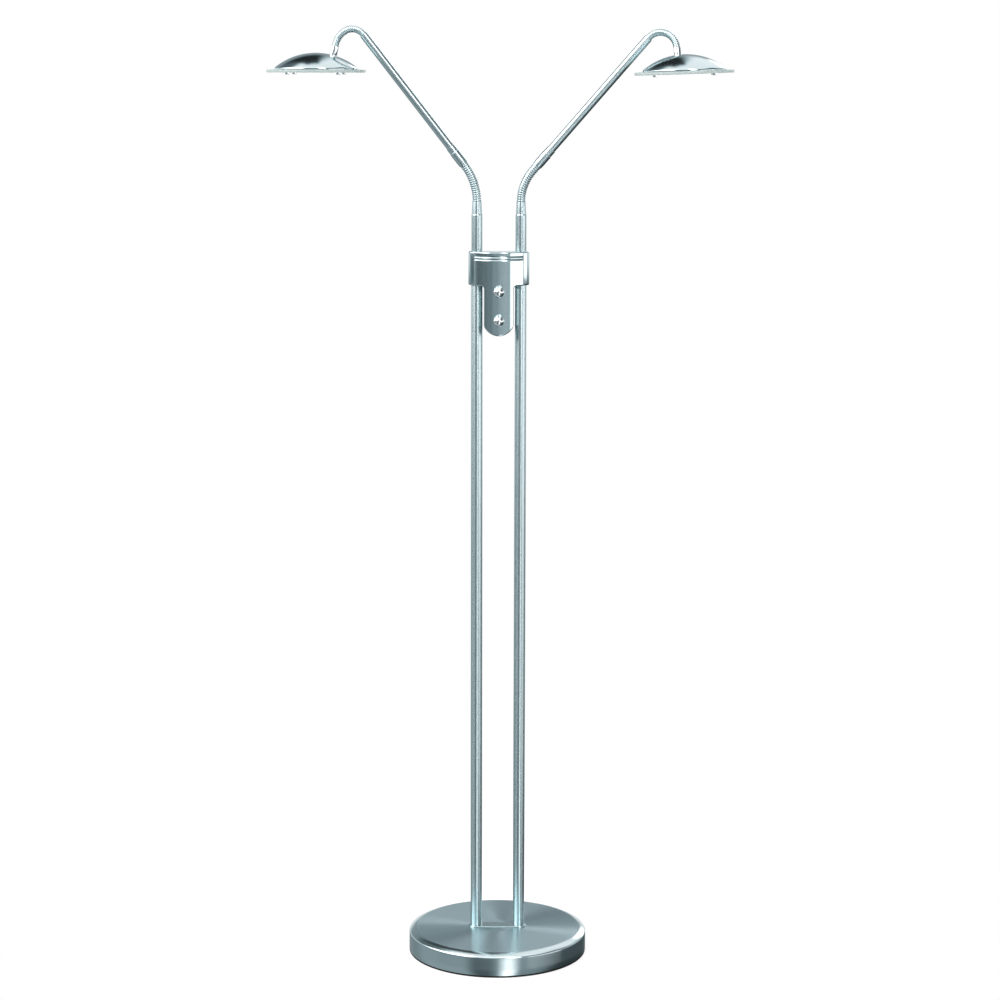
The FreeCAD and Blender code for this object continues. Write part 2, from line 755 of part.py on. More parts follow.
def arm_tube(placement, free_length):
    """Straight arm tube, with its place measured from its upper end; tapped for the sleeve's screws."""
    body = spin([
        (arm_bore, -arm_tube_length), (arm_radius, -arm_tube_length), (arm_radius, -arm_lip),
        (arm_radius - arm_lip, 0), (arm_bore, 0),
    ])
    for offset in sleeve_screw_offsets:
        spot = V(0, 0, -free_length - offset)
        body = body.cut(cylinder(sleeve_screw_radius + 0.03, arm_radius + 1, spot, V(0, -1, 0)))
    return placed(body, placement)


def head_rotation(side):
    """How the head is turned: its neck fitting's direction, then its tilt."""
    clock = FreeCAD.Rotation(Z_AXIS, side["neck_clock"])
    tilt = FreeCAD.Rotation(Y_AXIS, side["head_tilt"])
    return tilt.multiply(clock)


def fitting_normal():
    """The dome's outward normal at the neck fitting, in the head's own frame."""
    slope = math.radians(neck_slope)
    return V(math.sin(slope), 0, math.cos(slope))


def upper_route(side):
    """Centreline of the upper neck, from the arm's upper end to the dome."""
    lip, along = lower_route(side).at(lower_neck_length + sleeve_length + side["arm_free"])
    down = head_rotation(side).multVec(fitting_normal()) * -1
    normal = along.cross(down).normalize()
    total = math.degrees(along.getAngle(down))
    route = Route(lip, along, normal)
    route.bend(side["first_radius"], side["first_turn"])
    route.bend(side["second_radius"], total - side["first_turn"])
    spare = upper_neck_length - route.length
    print("straight end of the upper neck", round(spare, 2))
    route.run(spare)
    route.run(ferrule_length)
    return route


def neck_ferrule(placement):
    """Smooth fitting at the end of the upper neck, with a threaded stub that enters the dome."""
    tail_bore = upper_tail_radius + slip_fit
    wire_bore = 1.8
    end = ferrule_length - 0.05
    body = spin([
        (tail_bore, 0), (ferrule_radius - 0.2, 0), (ferrule_radius, 0.2), (ferrule_radius, end - 0.6),
        (ferrule_radius - 0.6, end), (head_stub_radius, end), (head_stub_radius, end + stub_in_dome),
        (wire_bore, end + stub_in_dome), (wire_bore, upper_tail + seat_gap), (tail_bore, upper_tail + seat_gap),
    ])
    return placed(body, placement)


# ---------------------------------------------------------------- heads, in their own frame

def dome_inner(radius):
    """Height of the dome's inner surface at a distance from its axis."""
    return dome_centre + math.sqrt((dome_sphere - dome_wall) ** 2 - radius**2)


def fitting_point():
    """Where the neck fitting meets the dome."""
    return V(neck_offset, 0, dome_centre + math.sqrt(dome_sphere**2 - neck_offset**2))


def cap_spots():
    """Places of the glass caps round the dome's axis."""
    spots = []
    for turn in (-cap_half_angle, cap_half_angle, 180 - cap_half_angle, 180 + cap_half_angle):
        angle = math.radians(cap_clock + turn)
        spots.append((cap_circle * math.cos(angle), cap_circle * math.sin(angle)))
    return spots


def lamp_dome():
    """Spun dome with an upright rim and welded posts for the glass caps."""
    inner_sphere = dome_sphere - dome_wall
    inner_rim = dome_radius - dome_wall
    half = dome_radius / 2
    outline = [
        arc(V(0, 0, dome_rim + dome_crown), V(half, 0, dome_centre + math.sqrt(dome_sphere**2 - half**2)),
            V(dome_radius, 0, dome_rim)),
        line(V(dome_radius, 0, dome_rim), V(dome_radius, 0, 0)),
        line(V(dome_radius, 0, 0), V(inner_rim, 0, 0)),
        line(V(inner_rim, 0, 0), V(inner_rim, 0, dome_inner(inner_rim))),
        arc(V(inner_rim, 0, dome_inner(inner_rim)), V(half, 0, dome_inner(half)),
            V(0, 0, dome_centre + inner_sphere)),
        line(V(0, 0, dome_centre + inner_sphere), V(0, 0, dome_rim + dome_crown)),
    ]
    dome = spin_edges(outline)
    start = pan_lift + pan_wall + 0.02
    for x, y in cap_spots():
        post = cylinder(post_radius, dome_inner(cap_circle) + dome_wall / 2 - start, V(x, y, start))
        dome = dome.fuse(post)
    for x, y in cap_spots():
        dome = dome.cut(cylinder(cap_shank + 0.03, cap_thread + 0.2 - start, V(x, y, start)))
    hole = cylinder(head_stub_radius + slip_fit, 10, fitting_point() - fitting_normal() * 5, fitting_normal())
    return dome.cut(hole).removeSplitter()


def neck_nut():
    """Nut inside the dome, on the neck fitting's stub."""
    nut = hexagon(head_nut_across_flats, head_nut_thickness, head_stub_radius + 0.03)
    seat = fitting_point() - fitting_normal() * (dome_wall + 0.25 + head_nut_thickness)
    return placed(nut, frame_at(seat, fitting_normal(), Y_AXIS))


def led_pan():
    """Pressed aluminium pan that carries the LED board and spreads its heat."""
    low = pan_lift
    outer = dome_radius - dome_wall - 0.3
    rise = pan_rise + low
    slope = 2.5
    pan = spin([
        (0, rise), (pan_flange_inner - slope, rise), (pan_flange_inner, low), (outer, low), (outer, low + pan_wall),
        (pan_flange_inner + 0.9, low + pan_wall), (pan_flange_inner - slope + 0.9, rise + pan_wall), (0, rise + pan_wall),
    ])
    for x, y in cap_spots():
        pan = pan.cut(cylinder(cap_shank + 0.3, 10, V(x, y, -1)))
    return pan.cut(cylinder(3.0, 20, V(neck_offset, 0, 0)))


def led_board():
    """Round board with a ring of LED packages, facing down."""
    top = pan_rise + pan_lift
    board = cylinder(led_board_radius, led_board_thickness, V(0, 0, top - led_board_thickness))
    board = board.cut(cylinder(3.0, 20, V(neck_offset, 0, 0)))
    chips = []
    for i in range(led_count):
        angle = 360 * (i + 0.5) / led_count
        half = led_size / 2
        chip = box(V(led_circle - half, -half, 0), V(led_circle + half, half, led_height + 0.1))
        chip.rotate(V(0, 0, 0), Z_AXIS, angle)
        chip.translate(V(0, 0, top - led_board_thickness - led_height))
        chips.append(chip)
    return board.multiFuse(chips)


def glass_disc():
    """Frosted glass disc under the dome, with four holes."""
    disc = cylinder(glass_radius, glass_thickness, V(0, 0, -glass_thickness))
    disc = disc.makeFillet(0.5, [e for e in disc.Edges if abs(e.Length - 2 * math.pi * glass_radius) < 0.1])
    for x, y in cap_spots():
        disc = disc.cut(cylinder(cap_shank + 0.3, 10, V(x, y, -glass_thickness - 1)))
    return disc


def glass_caps():
    """Cap screws that hold the glass."""
    caps = []
    for x, y in cap_spots():
        low = -glass_thickness - 0.05 - cap_height
        cap = cylinder(cap_radius, cap_height, V(0, 0, low))
        cap = cap.makeFillet(cap_round, [e for e in cap.Edges if e.BoundBox.ZMax < low + 0.01])
        cap = cap.fuse(cylinder(cap_shank, cap_thread - low - 0.5, V(0, 0, low + 0.5)))
        cap.translate(V(x, y, 0))
        caps.append(cap)
    return Part.makeCompound(caps)


# ---------------------------------------------------------------- nodes

def export_side(name, side):
    """Everything above the pole on one side."""
    lower = lower_route(side)
    first, second, third = lower_ribs
    pitch = lower_rib_pitch
    size = (pitch, lower_crest, lower_root, lower_bore)
    export("neck_socket_" + name, neck_socket(side["sign"] * pole_x))
    export("lower_neck_base_" + name, ribbed_hose(lower, 0, first, *size, tail=(-lower_tail, lower_tail_radius)))
    export("lower_neck_middle_" + name, ribbed_hose(lower, first * pitch, second, *size))
    tail = (sleeve_socket_depth, lower_tail_radius)
    export("lower_neck_top_" + name, ribbed_hose(lower, (first + second) * pitch, third, *size, tail=tail))

    point, along = lower.at(lower_neck_length)
    at_sleeve = frame_at(point, along, along.cross(Y_AXIS) * -1)
    export("arm_sleeve_" + name, sleeve(at_sleeve))
    export("sleeve_screws_" + name, sleeve_screws(at_sleeve))
    lip, along = lower.at(lower_neck_length + sleeve_length + side["arm_free"])
    export("arm_tube_" + name, arm_tube(frame_at(lip, along, along.cross(Y_AXIS) * -1), side["arm_free"]))
    lead_start = lower.at(lower_neck_length + sleeve_socket_depth / 2)[0]
    lead_end = lip - along * (upper_tail / 2)
    export("arm_lead_" + name, cylinder(lead_radius, (lead_end - lead_start).Length, lead_start, along))

    upper = upper_route(side)
    first, second, third = upper_ribs
    pitch = upper_rib_pitch
    size = (pitch, upper_crest, upper_root, upper_bore)
    export("upper_neck_base_" + name, ribbed_hose(upper, 0, first, *size, tail=(-upper_tail, arm_bore - slip_fit)))
    export("upper_neck_middle_" + name, ribbed_hose(upper, first * pitch, second, *size))
    tail = (upper_tail, upper_tail_radius)
    export("upper_neck_end_" + name, ribbed_hose(upper, (first + second) * pitch, third, *size, tail=tail))
    point, along = upper.at(upper_neck_length)
    export("neck_ferrule_" + name, neck_ferrule(frame_at(point, along, upper.normal)))

    turned = head_rotation(side)
    touch = upper.at(upper_neck_length + ferrule_length)[0]
    head = FreeCAD.Placement(touch - turned.multVec(fitting_point()), turned)
    for node, shape in (
        ("lamp_dome_", lamp_dome()), ("neck_nut_", neck_nut()), ("led_pan_", led_pan()), ("led_board_", led_board()),
        ("glass_disc_", glass_disc()), ("glass_caps_", glass_caps()),
    ):
        export(node + name, placed(shape, head))
    for label, route, ribs, step in (("lower", lower, lower_ribs, lower_rib_pitch), ("upper", upper, upper_ribs, upper_rib_pitch)):
        for k, spot in (("pivot 1", ribs[0] * step), ("pivot 2", (ribs[0] + ribs[1]) * step)):
            point, along = route.at(spot)
            cross = route.normal.cross(along)
            print(name, label, k, "point", [round(c, 3) for c in point], "normal", [round(c, 5) for c in route.normal],
                  "across", [round(c, 5) for c in cross])
    print(name, "head at", [round(c, 3) for c in head.Base])


def main():
    os.makedirs("parts", exist_ok=True)
    export("base_cover", base_cover())
    export("base_weight", base_weight())
    export("base_pad", base_pad())
    export("cord_grommet", cord_grommet())
    export("foot_plate", foot_plate())
    export("pole_left", pole(-pole_x))
    export("pole_right", pole(pole_x))
    export("pole_nuts", pole_nuts())
    export("terminal_block", terminal_block())
    export("pole_leads", pole_leads())
    export("bracket_body", bracket_body())
    export("bracket_cover", bracket_cover())
    export("bracket_screws", bracket_screws())
    export("clamp_screws", clamp_screws())
    for level, height in knob_heights.items():
        export("dimmer_" + level, dimmer(height))
        export("dimmer_shaft_" + level, dimmer_shaft(height))
        export("knob_" + level, knob(height))
    export("dimmer_nuts", dimmer_nuts())
    export("dimmer_board", dimmer_board())
    export("led_driver", led_driver())
    for name, side in SIDES.items():
        export_side(name, side)


main()
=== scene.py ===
"""Twin-arm reading floor lamp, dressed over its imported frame. Metres, with the front at -Y."""
import json
import logging
import math
from dataclasses import dataclass, field
from enum import Enum
from typing import Any, Optional, Sequence

import bmesh
import bpy
from mathutils import Matrix, Quaternion, Vector


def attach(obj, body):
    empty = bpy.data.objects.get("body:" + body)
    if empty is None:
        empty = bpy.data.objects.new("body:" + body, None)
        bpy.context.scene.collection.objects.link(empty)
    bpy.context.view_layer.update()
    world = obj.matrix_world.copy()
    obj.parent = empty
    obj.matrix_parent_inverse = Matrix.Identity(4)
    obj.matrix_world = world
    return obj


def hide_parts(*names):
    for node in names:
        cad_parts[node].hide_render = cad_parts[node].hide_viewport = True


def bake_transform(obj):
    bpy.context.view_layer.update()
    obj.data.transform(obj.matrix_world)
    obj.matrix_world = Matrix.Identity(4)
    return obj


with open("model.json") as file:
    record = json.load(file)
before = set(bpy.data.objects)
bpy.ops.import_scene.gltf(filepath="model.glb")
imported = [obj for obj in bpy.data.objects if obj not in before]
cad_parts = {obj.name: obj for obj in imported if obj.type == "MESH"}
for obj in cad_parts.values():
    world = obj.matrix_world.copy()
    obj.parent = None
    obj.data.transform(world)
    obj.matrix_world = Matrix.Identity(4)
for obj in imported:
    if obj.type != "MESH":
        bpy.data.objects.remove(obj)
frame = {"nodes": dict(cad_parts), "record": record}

log = logging.getLogger("lamp")
Colour = tuple[float, float, float, float]
Point = tuple[float, float]
Knot = tuple[float, Vector, Vector, Optional[float]]
Node = bpy.types.Node
Piece = bpy.types.Object
Socket = bpy.types.NodeSocket
Tree = bpy.types.NodeTree
Work = bmesh.types.BMesh

MM = 0.001
RIGHT = Vector((1, 0, 0))
FORWARD = Vector((0, -1, 0))
UP = Vector((0, 0, 1))

# Sizes shared by several pieces, in millimetres
BASE_RADIUS = 125.0
BASE_HEIGHT = 33.2
POLE_X = 30.0
POLE_RADIUS = 8.0
POLE_BOTTOM = 35.2
POLE_TOP = 968.0
SOCKET_TOP = 1058.3
BRACKET_BOTTOM = 945.0
BRACKET_TOP = 991.0
WRAP_RADIUS = 11.7
COVER_BULGE = 26.0
COVER_RADIUS = 47.2
TONGUE_BOTTOM = 877.0
TONGUE_HALF_WIDTH = 20.3
TONGUE_SPLIT = 6.0
KNOB_HEIGHTS = (938.0, 898.7)
FERRULE_LENGTH = 12.0
SLEEVE_LENGTH = 30.0
DOME_RADIUS = 56.3
DOME_CROWN = 20.0
DOME_RIM = 2.4
DOME_SPHERE = (DOME_RADIUS ** 2 + DOME_CROWN ** 2) / (2 * DOME_CROWN)
DOME_CENTRE = DOME_RIM + DOME_CROWN - DOME_SPHERE
NECK_OFFSET = 23.6
GLASS_RADIUS = 66.5
GLASS_THICKNESS = 4.0

# Type names of the nodes that come up most
MATH = "ShaderNodeMath"
NOISE = "ShaderNodeTexNoise"
RANGE = "ShaderNodeMapRange"
# Mesh attribute of a turned piece: the direction of its profile
MERIDIAN = "meridian"
# Facets round a tube, and the turn in degrees past which an edge stays sharp
FACETS = 96
SHARP = 35.0
# A point nearer to the axis than this, in millimetres, closes a turned piece
ON_AXIS = 1e-6
# Points of an outline that are nearer to each other than this, in millimetres, are one
SAME_POINT = 1e-4
# Slack in finding the stretch of a line that a distance lies in, in millimetres
SLACK = 1e-9


def linear(code: str) -> Colour:
    """Turns an sRGB hex colour into the linear values that the shaders take.

    Args:
        code: Six hex digits.

    Returns:
        The linear colour, opaque.
    """
    parts = [int(code[i:i + 2], 16) / 255 for i in (0, 2, 4)]
    red, green, blue = (c / 12.92 if c <= 0.04045 else ((c + 0.055) / 1.055) ** 2.4 for c in parts)
    return (red, green, blue, 1.0)


def feed(tree: Tree, node: Node, inputs: Any) -> None:
    """Sets a node's values and links.

    Args:
        tree: The tree that the node is in.
        node: The node.
        inputs: Values by socket name or number, or in the sockets' order. A socket is linked,
            and a node is linked by its first output.
    """
    for key, value in inputs.items() if isinstance(inputs, dict) else enumerate(inputs):
        if isinstance(value, Node):
            value = value.outputs[0]
        if isinstance(value, Socket):
            tree.links.new(value, node.inputs[key])
        else:
            node.inputs[key].default_value = value


def add(tree: Tree, kind: str, inputs: Any = (), **settings: Any) -> Node:
    """Adds a node with its settings, values and links.

    Args:
        tree: The tree that the node joins.
        kind: The node's type name.
        inputs: What goes into it, as feed takes it.
        settings: Properties of the node.

    Returns:
        The new node.
    """
    node = tree.nodes.new(kind)
    for key, value in settings.items():
        setattr(node, key, value)
    feed(tree, node, inputs)
    return node


# ---------------------------------------------------------------- finishes

class Grain(Enum):
    """How a metal's brushing runs: marks to the metre along each axis that it follows.

    Real marks are too fine to show, so these are about 2 mm apart.
    """

    AROUND = (20.0, 500.0, 1.0)       # round a turned piece, from its UV map
    CIRCULAR = (600.0, 1.5, 500.0)    # round the Z axis: radius, turn, height
    ACROSS = (25.0, 25.0, 600.0)      # level, along X
    NONE = (500.0, 500.0, 500.0)


@dataclass(frozen=True)
class Finish:
    """A material that is made once.

    Attributes:
        name: The material's name.
        colour: Hex colour.
    """

    name: str
    colour: str

    def build(self) -> bpy.types.Material:
        """Makes the material, or finds it if it is there already.

        Returns:
            The material.
        """
        if self.name in bpy.data.materials:
            return bpy.data.materials[self.name]
        material = bpy.data.materials.new(self.name)
        material.use_nodes = True
        tree = material.node_tree
        self.dress(tree, tree.nodes["Principled BSDF"])
        return material

    def dress(self, tree: Tree, shader: Node) -> None:
        """Sets the shader's values and adds its patterns."""
        raise NotImplementedError(self.name)


@dataclass(frozen=True)
class Metal(Finish):
    """A bare or plated metal with fine brushing.

    Attributes:
        roughness: Middle roughness.
        spread: How far the roughness varies.
        grain: Direction of the brushing.
        anisotropy: How much a highlight stretches across the brushing.
        depth: Height of the brush marks, in millimetres.
    """

    roughness: float
    spread: float
    grain: Grain = Grain.NONE
    anisotropy: float = 0.0
    depth: float = 0.001

    def dress(self, tree: Tree, shader: Node) -> None:
        """Adds the brush marks, and the stretch of the highlight across them.

        Args:
            tree: The material's tree.
            shader: Its shader.
        """
        place = add(tree, "ShaderNodeTexCoord").outputs["Object"]
        fine = add(tree, NOISE, {"Vector": self._marks(tree), "Scale": 1.0, "Detail": 2.0})
        # The plate's own unevenness, some 45 mm across
        broad = add(tree, NOISE, {"Vector": place, "Scale": 22.0, "Detail": 2.0})
        shares = [add(tree, MATH, pair, operation="MULTIPLY")
                  for pair in ((fine, 0.6), (broad, 0.4))]
        rough = add(tree, RANGE, {
            "Value": add(tree, MATH, shares, operation="ADD"), "From Min": 0.3, "From Max": 0.7,
            "To Min": max(self.roughness - self.spread, 0.02),
            "To Max": self.roughness + self.spread})
        bump = add(tree, "ShaderNodeBump", {
            "Strength": 0.25, "Distance": self.depth * MM, "Height": fine})
        feed(tree, shader, {"Base Color": linear(self.colour), "Metallic": 1.0,
                            "Roughness": rough, "Normal": bump})
        if self.anisotropy:
            # The highlight stretches along the tangent, which runs across the brushing
            if self.grain is Grain.ACROSS:
                across = add(tree, "ShaderNodeCombineXYZ", (0.0, 0.0, 1.0)).outputs[0]
            else:
                across = add(tree, "ShaderNodeAttribute", attribute_name=MERIDIAN).outputs["Vector"]
            tangent = add(tree, "ShaderNodeVectorTransform", (across,), vector_type="VECTOR",
                          convert_from="OBJECT", convert_to="WORLD")
            feed(tree, shader, {"Anisotropic": self.anisotropy, "Tangent": tangent})

    def _marks(self, tree: Tree) -> Node:
        """The coordinates that the brushing follows, in marks.

        Args:
            tree: The material's tree.

        Returns:
            The node whose first output they are.
        """
        where = add(tree, "ShaderNodeTexCoord").outputs
        source = where["UV" if self.grain is Grain.AROUND else "Object"]
        if self.grain is Grain.CIRCULAR:
            x, y, z = add(tree, "ShaderNodeSeparateXYZ", (source,)).outputs
            squares = [add(tree, MATH, (side, side), operation="MULTIPLY") for side in (x, y)]
            square = add(tree, MATH, squares, operation="ADD")
            turn = add(tree, MATH, (x, y), operation="ARCTAN2")
            source = add(tree, "ShaderNodeCombineXYZ", (
                add(tree, MATH, (square,), operation="SQRT"),
                add(tree, MATH, (turn,), operation="ABSOLUTE"), z))
        return add(tree, "ShaderNodeVectorMath", (source, self.grain.value), operation="MULTIPLY")


@dataclass(frozen=True)
class Plain(Finish):
    """A plastic, rubber or painted finish with a fine moulded texture.

    Attributes:
        other: Hex colour of the faint mottling.
        roughness: Roughness.
        depth: Height of the texture, in millimetres.
        size: Size of the texture, in millimetres.
        shine: Specular level.
    """

    other: str
    roughness: float
    depth: float = 0.02
    size: float = 0.8
    shine: float = 0.5

    def dress(self, tree: Tree, shader: Node) -> None:
        """Adds the mottling and the texture.

        Args:
            tree: The material's tree.
            shader: Its shader.
        """
        place = add(tree, "ShaderNodeTexCoord").outputs["Object"]
        noise = add(tree, NOISE, {"Vector": place, "Scale": 1 / (self.size * MM), "Detail": 2.0})
        mottled = add(tree, "ShaderNodeMix", {
            0: noise, 6: linear(self.colour), 7: linear(self.other)}, data_type="RGBA").outputs[2]
        bump = add(tree, "ShaderNodeBump", {
            "Strength": 0.5, "Distance": self.depth * MM, "Height": noise})
        feed(tree, shader, {"Base Color": mottled, "Roughness": self.roughness,
                            "Specular IOR Level": self.shine, "Normal": bump})


@dataclass(frozen=True)
class FrostedGlass(Finish):
    """Satin-etched float glass, pale grey-green through its edge.

    Attributes:
        clear: Share of light that passes; the etched skin scatters the rest.
        roughness: Roughness of the etched faces.
    """

    clear: float
    roughness: float = 0.35

    def dress(self, tree: Tree, shader: Node) -> None:
        """Lets light through, and adds the etching.

        Args:
            tree: The material's tree.
            shader: Its shader.
        """
        place = add(tree, "ShaderNodeTexCoord").outputs["Object"]
        # Real etching is too fine to show, so its marks are drawn about 1 mm apart
        noise = add(tree, NOISE, {"Vector": place, "Scale": 900.0, "Detail": 3.0})
        rough = add(tree, RANGE, {
            "Value": noise, "To Min": self.roughness - 0.06, "To Max": self.roughness + 0.06})
        bump = add(tree, "ShaderNodeBump", {
            "Strength": 0.4, "Distance": 0.002 * MM, "Height": noise})
        feed(tree, shader, {"Base Color": linear(self.colour), "Transmission Weight": self.clear,
                            "IOR": 1.5, "Roughness": rough, "Normal": bump})


# Satin nickel plate, in the cool tint that daylight gives it
NICKEL_COLOUR = "b5c8cb"
# Brushed round a tube: reflections smear along it into long even bands
SATIN_NICKEL = Metal("brushed_nickel", NICKEL_COLOUR, 0.24, 0.01, Grain.AROUND, 0.92, 0.0002)
# Spun: reflections smear outward from the middle
SPUN_NICKEL = Metal("spun_nickel", NICKEL_COLOUR, 0.19, 0.015, Grain.CIRCULAR, 0.75)
# Spun and brushed harder on the flat top: a lamp becomes a streak through the middle. Its darker
# colour than the rest of the same nickel is painted shade, which dims what the top reflects
SHADED_SPUN_TOP = Metal("spun_nickel_top_painted_shade", "a0b9bf", 0.3, 0.015, Grain.CIRCULAR, 0.93)
# Finely spun: nearly a mirror, with soft edges
DOME_NICKEL = Metal("spun_nickel_dome", NICKEL_COLOUR, 0.13, 0.015, Grain.AROUND, 0.4, 0.0002)
# Brushed level, then pressed: reflections smear up and down
PRESSED_NICKEL = Metal("satin_nickel_pressed", NICKEL_COLOUR, 0.14, 0.02, Grain.ACROSS, 0.65)
# Cast or wound before plating: soft reflections with no direction
CAST_NICKEL = Metal("satin_nickel_cast", NICKEL_COLOUR, 0.16, 0.02)
# Polished before plating: sharp reflections
BRIGHT_NICKEL = Metal("polished_nickel", "dde3e5", 0.05, 0.01)
# Zinc plate: pale, dull and slightly blotchy
ZINC_STEEL = Metal("zinc_plated_steel", "b6bab8", 0.35, 0.08)
# Blackened steel: dark, with a dull sheen
BLACK_OXIDE = Metal("blackened_steel", "2c2d2e", 0.4, 0.08)
# Turned brass: warm and soft
BRASS = Metal("turned_brass", "c2a356", 0.3, 0.06)
# Pressed sheet: pale and dull
ALUMINIUM = Metal("pressed_aluminium", "c4c7c9", 0.4, 0.06)
# Cast in sand: dark and grainy
CAST_IRON = Plain("sand_cast_iron", "2b2b2b", "3a3938", 0.75, 0.15, 2.5)
# Moulded rubber: black, with hardly any shine
BLACK_RUBBER = Plain("moulded_rubber", "0b0b0c", "111112", 0.8, 0.03, 0.6, 0.15)
# Moulded ABS and nylon: a slight sheen
BLACK_PLASTIC = Plain("moulded_black_abs", "141415", "1c1c1d", 0.45)
WHITE_PLASTIC = Plain("moulded_white_nylon", "d6d5cf", "cbcac3", 0.45)
# Extruded PVC: pale grey and soft
LEAD_SHEATH = Plain("pvc_sheath", "c9c9c5", "bdbdb8", 0.55)
# Printed solder mask: a smooth coloured skin
CIRCUIT_BOARD = Plain("green_solder_mask", "1f5a35", "194c2c", 0.35)
WHITE_BOARD = Plain("white_solder_mask", "e4e4dd", "dadad2", 0.35)
# Etched on both faces: pale, and nothing behind it is clear
FROSTED_GLASS = FrostedGlass("etched_float_glass", "a2b3b1", 0.2)
# Matt paint: the studio's floor
FLOOR_PAINT = Plain("floor_paint", "f4f4f4", "f2f2f2", 0.9, 0.0, 5.0)

SLOT_FINISHES = {
    "satin_nickel": CAST_NICKEL, "bright_nickel": BRIGHT_NICKEL, "cast_iron": CAST_IRON,
    "black_rubber": BLACK_RUBBER, "zinc_steel": ZINC_STEEL, "black_oxide": BLACK_OXIDE,
    "white_plastic": WHITE_PLASTIC, "black_plastic": BLACK_PLASTIC, "lead_sheath": LEAD_SHEATH,
    "brass": BRASS, "circuit_board": CIRCUIT_BOARD, "white_board": WHITE_BOARD,
    "aluminium": ALUMINIUM, "frosted_glass": FROSTED_GLASS,
}


# ---------------------------------------------------------------- mesh tools

def arc(centre: Point, radius: float, start: float, end: float, steps: int,
        first: int = 0) -> list[Point]:
    """Points along an arc.

    Args:
        centre: Its centre.
        radius: Its radius.
        start: Angle of its start, in radians.
        end: Angle of its end.
        steps: Number of spans.
        first: Number of points left out at its start.

    Returns:
        The points in order.
    """
    turns = [start + (end - start) * k / steps for k in range(first, steps + 1)]
    return [(centre[0] + radius * math.cos(a), centre[1] + radius * math.sin(a)) for a in turns]


def rounded(corners: Sequence[tuple[float, ...]], steps: int = 5) -> list[Point]:
    """Rounds the corners of an open profile.

    Args:
        corners: Each corner's place, and the radius that rounds it where it has one.
        steps: Spans in each rounded corner.

    Returns:
        The profile's points.
    """
    spots = [Vector(corner[:2]) for corner in corners]
    points: list[Point] = []
    for i, here in enumerate(spots):
        if len(corners[i]) == 2 or i in (0, len(corners) - 1):
            points.append((here.x, here.y))
            continue
        to_last, to_next = spots[i - 1] - here, spots[i + 1] - here
        half = to_last.angle(to_next) / 2
        back = min(corners[i][2] / math.tan(half), to_last.length * 0.49, to_next.length * 0.49)
        middle = (to_last.normalized() + to_next.normalized()).normalized()
        centre = here + middle * (back * math.tan(half) / math.sin(half))
        start = here + to_last.normalized() * back - centre
        end = here + to_next.normalized() * back - centre
        sweep = start.angle_signed(end)
        for k in range(steps + 1):
            cos, sin = math.cos(-sweep * k / steps), math.sin(-sweep * k / steps)
            turned = Vector((start.x * cos - start.y * sin, start.x * sin + start.y * cos))
            points.append(tuple(centre + turned))
    return points


def new_object(name: str, mesh: bpy.types.Mesh, finish: Finish, sharp: float = SHARP) -> Piece:
    """Makes a smooth-shaded object with one finish.

    Args:
        name: The piece's name.
        mesh: Its mesh.
        finish: The finish that covers it.
        sharp: Edges that turn by more than this many degrees stay sharp.

    Returns:
        The new object, linked to the scene.
    """
    mesh.shade_smooth()
    mesh.set_sharp_from_angle(angle=math.radians(sharp))
    mesh.materials.clear()
    mesh.materials.append(finish.build())
    obj = bpy.data.objects.new(name, mesh)
    bpy.context.scene.collection.objects.link(obj)
    return obj


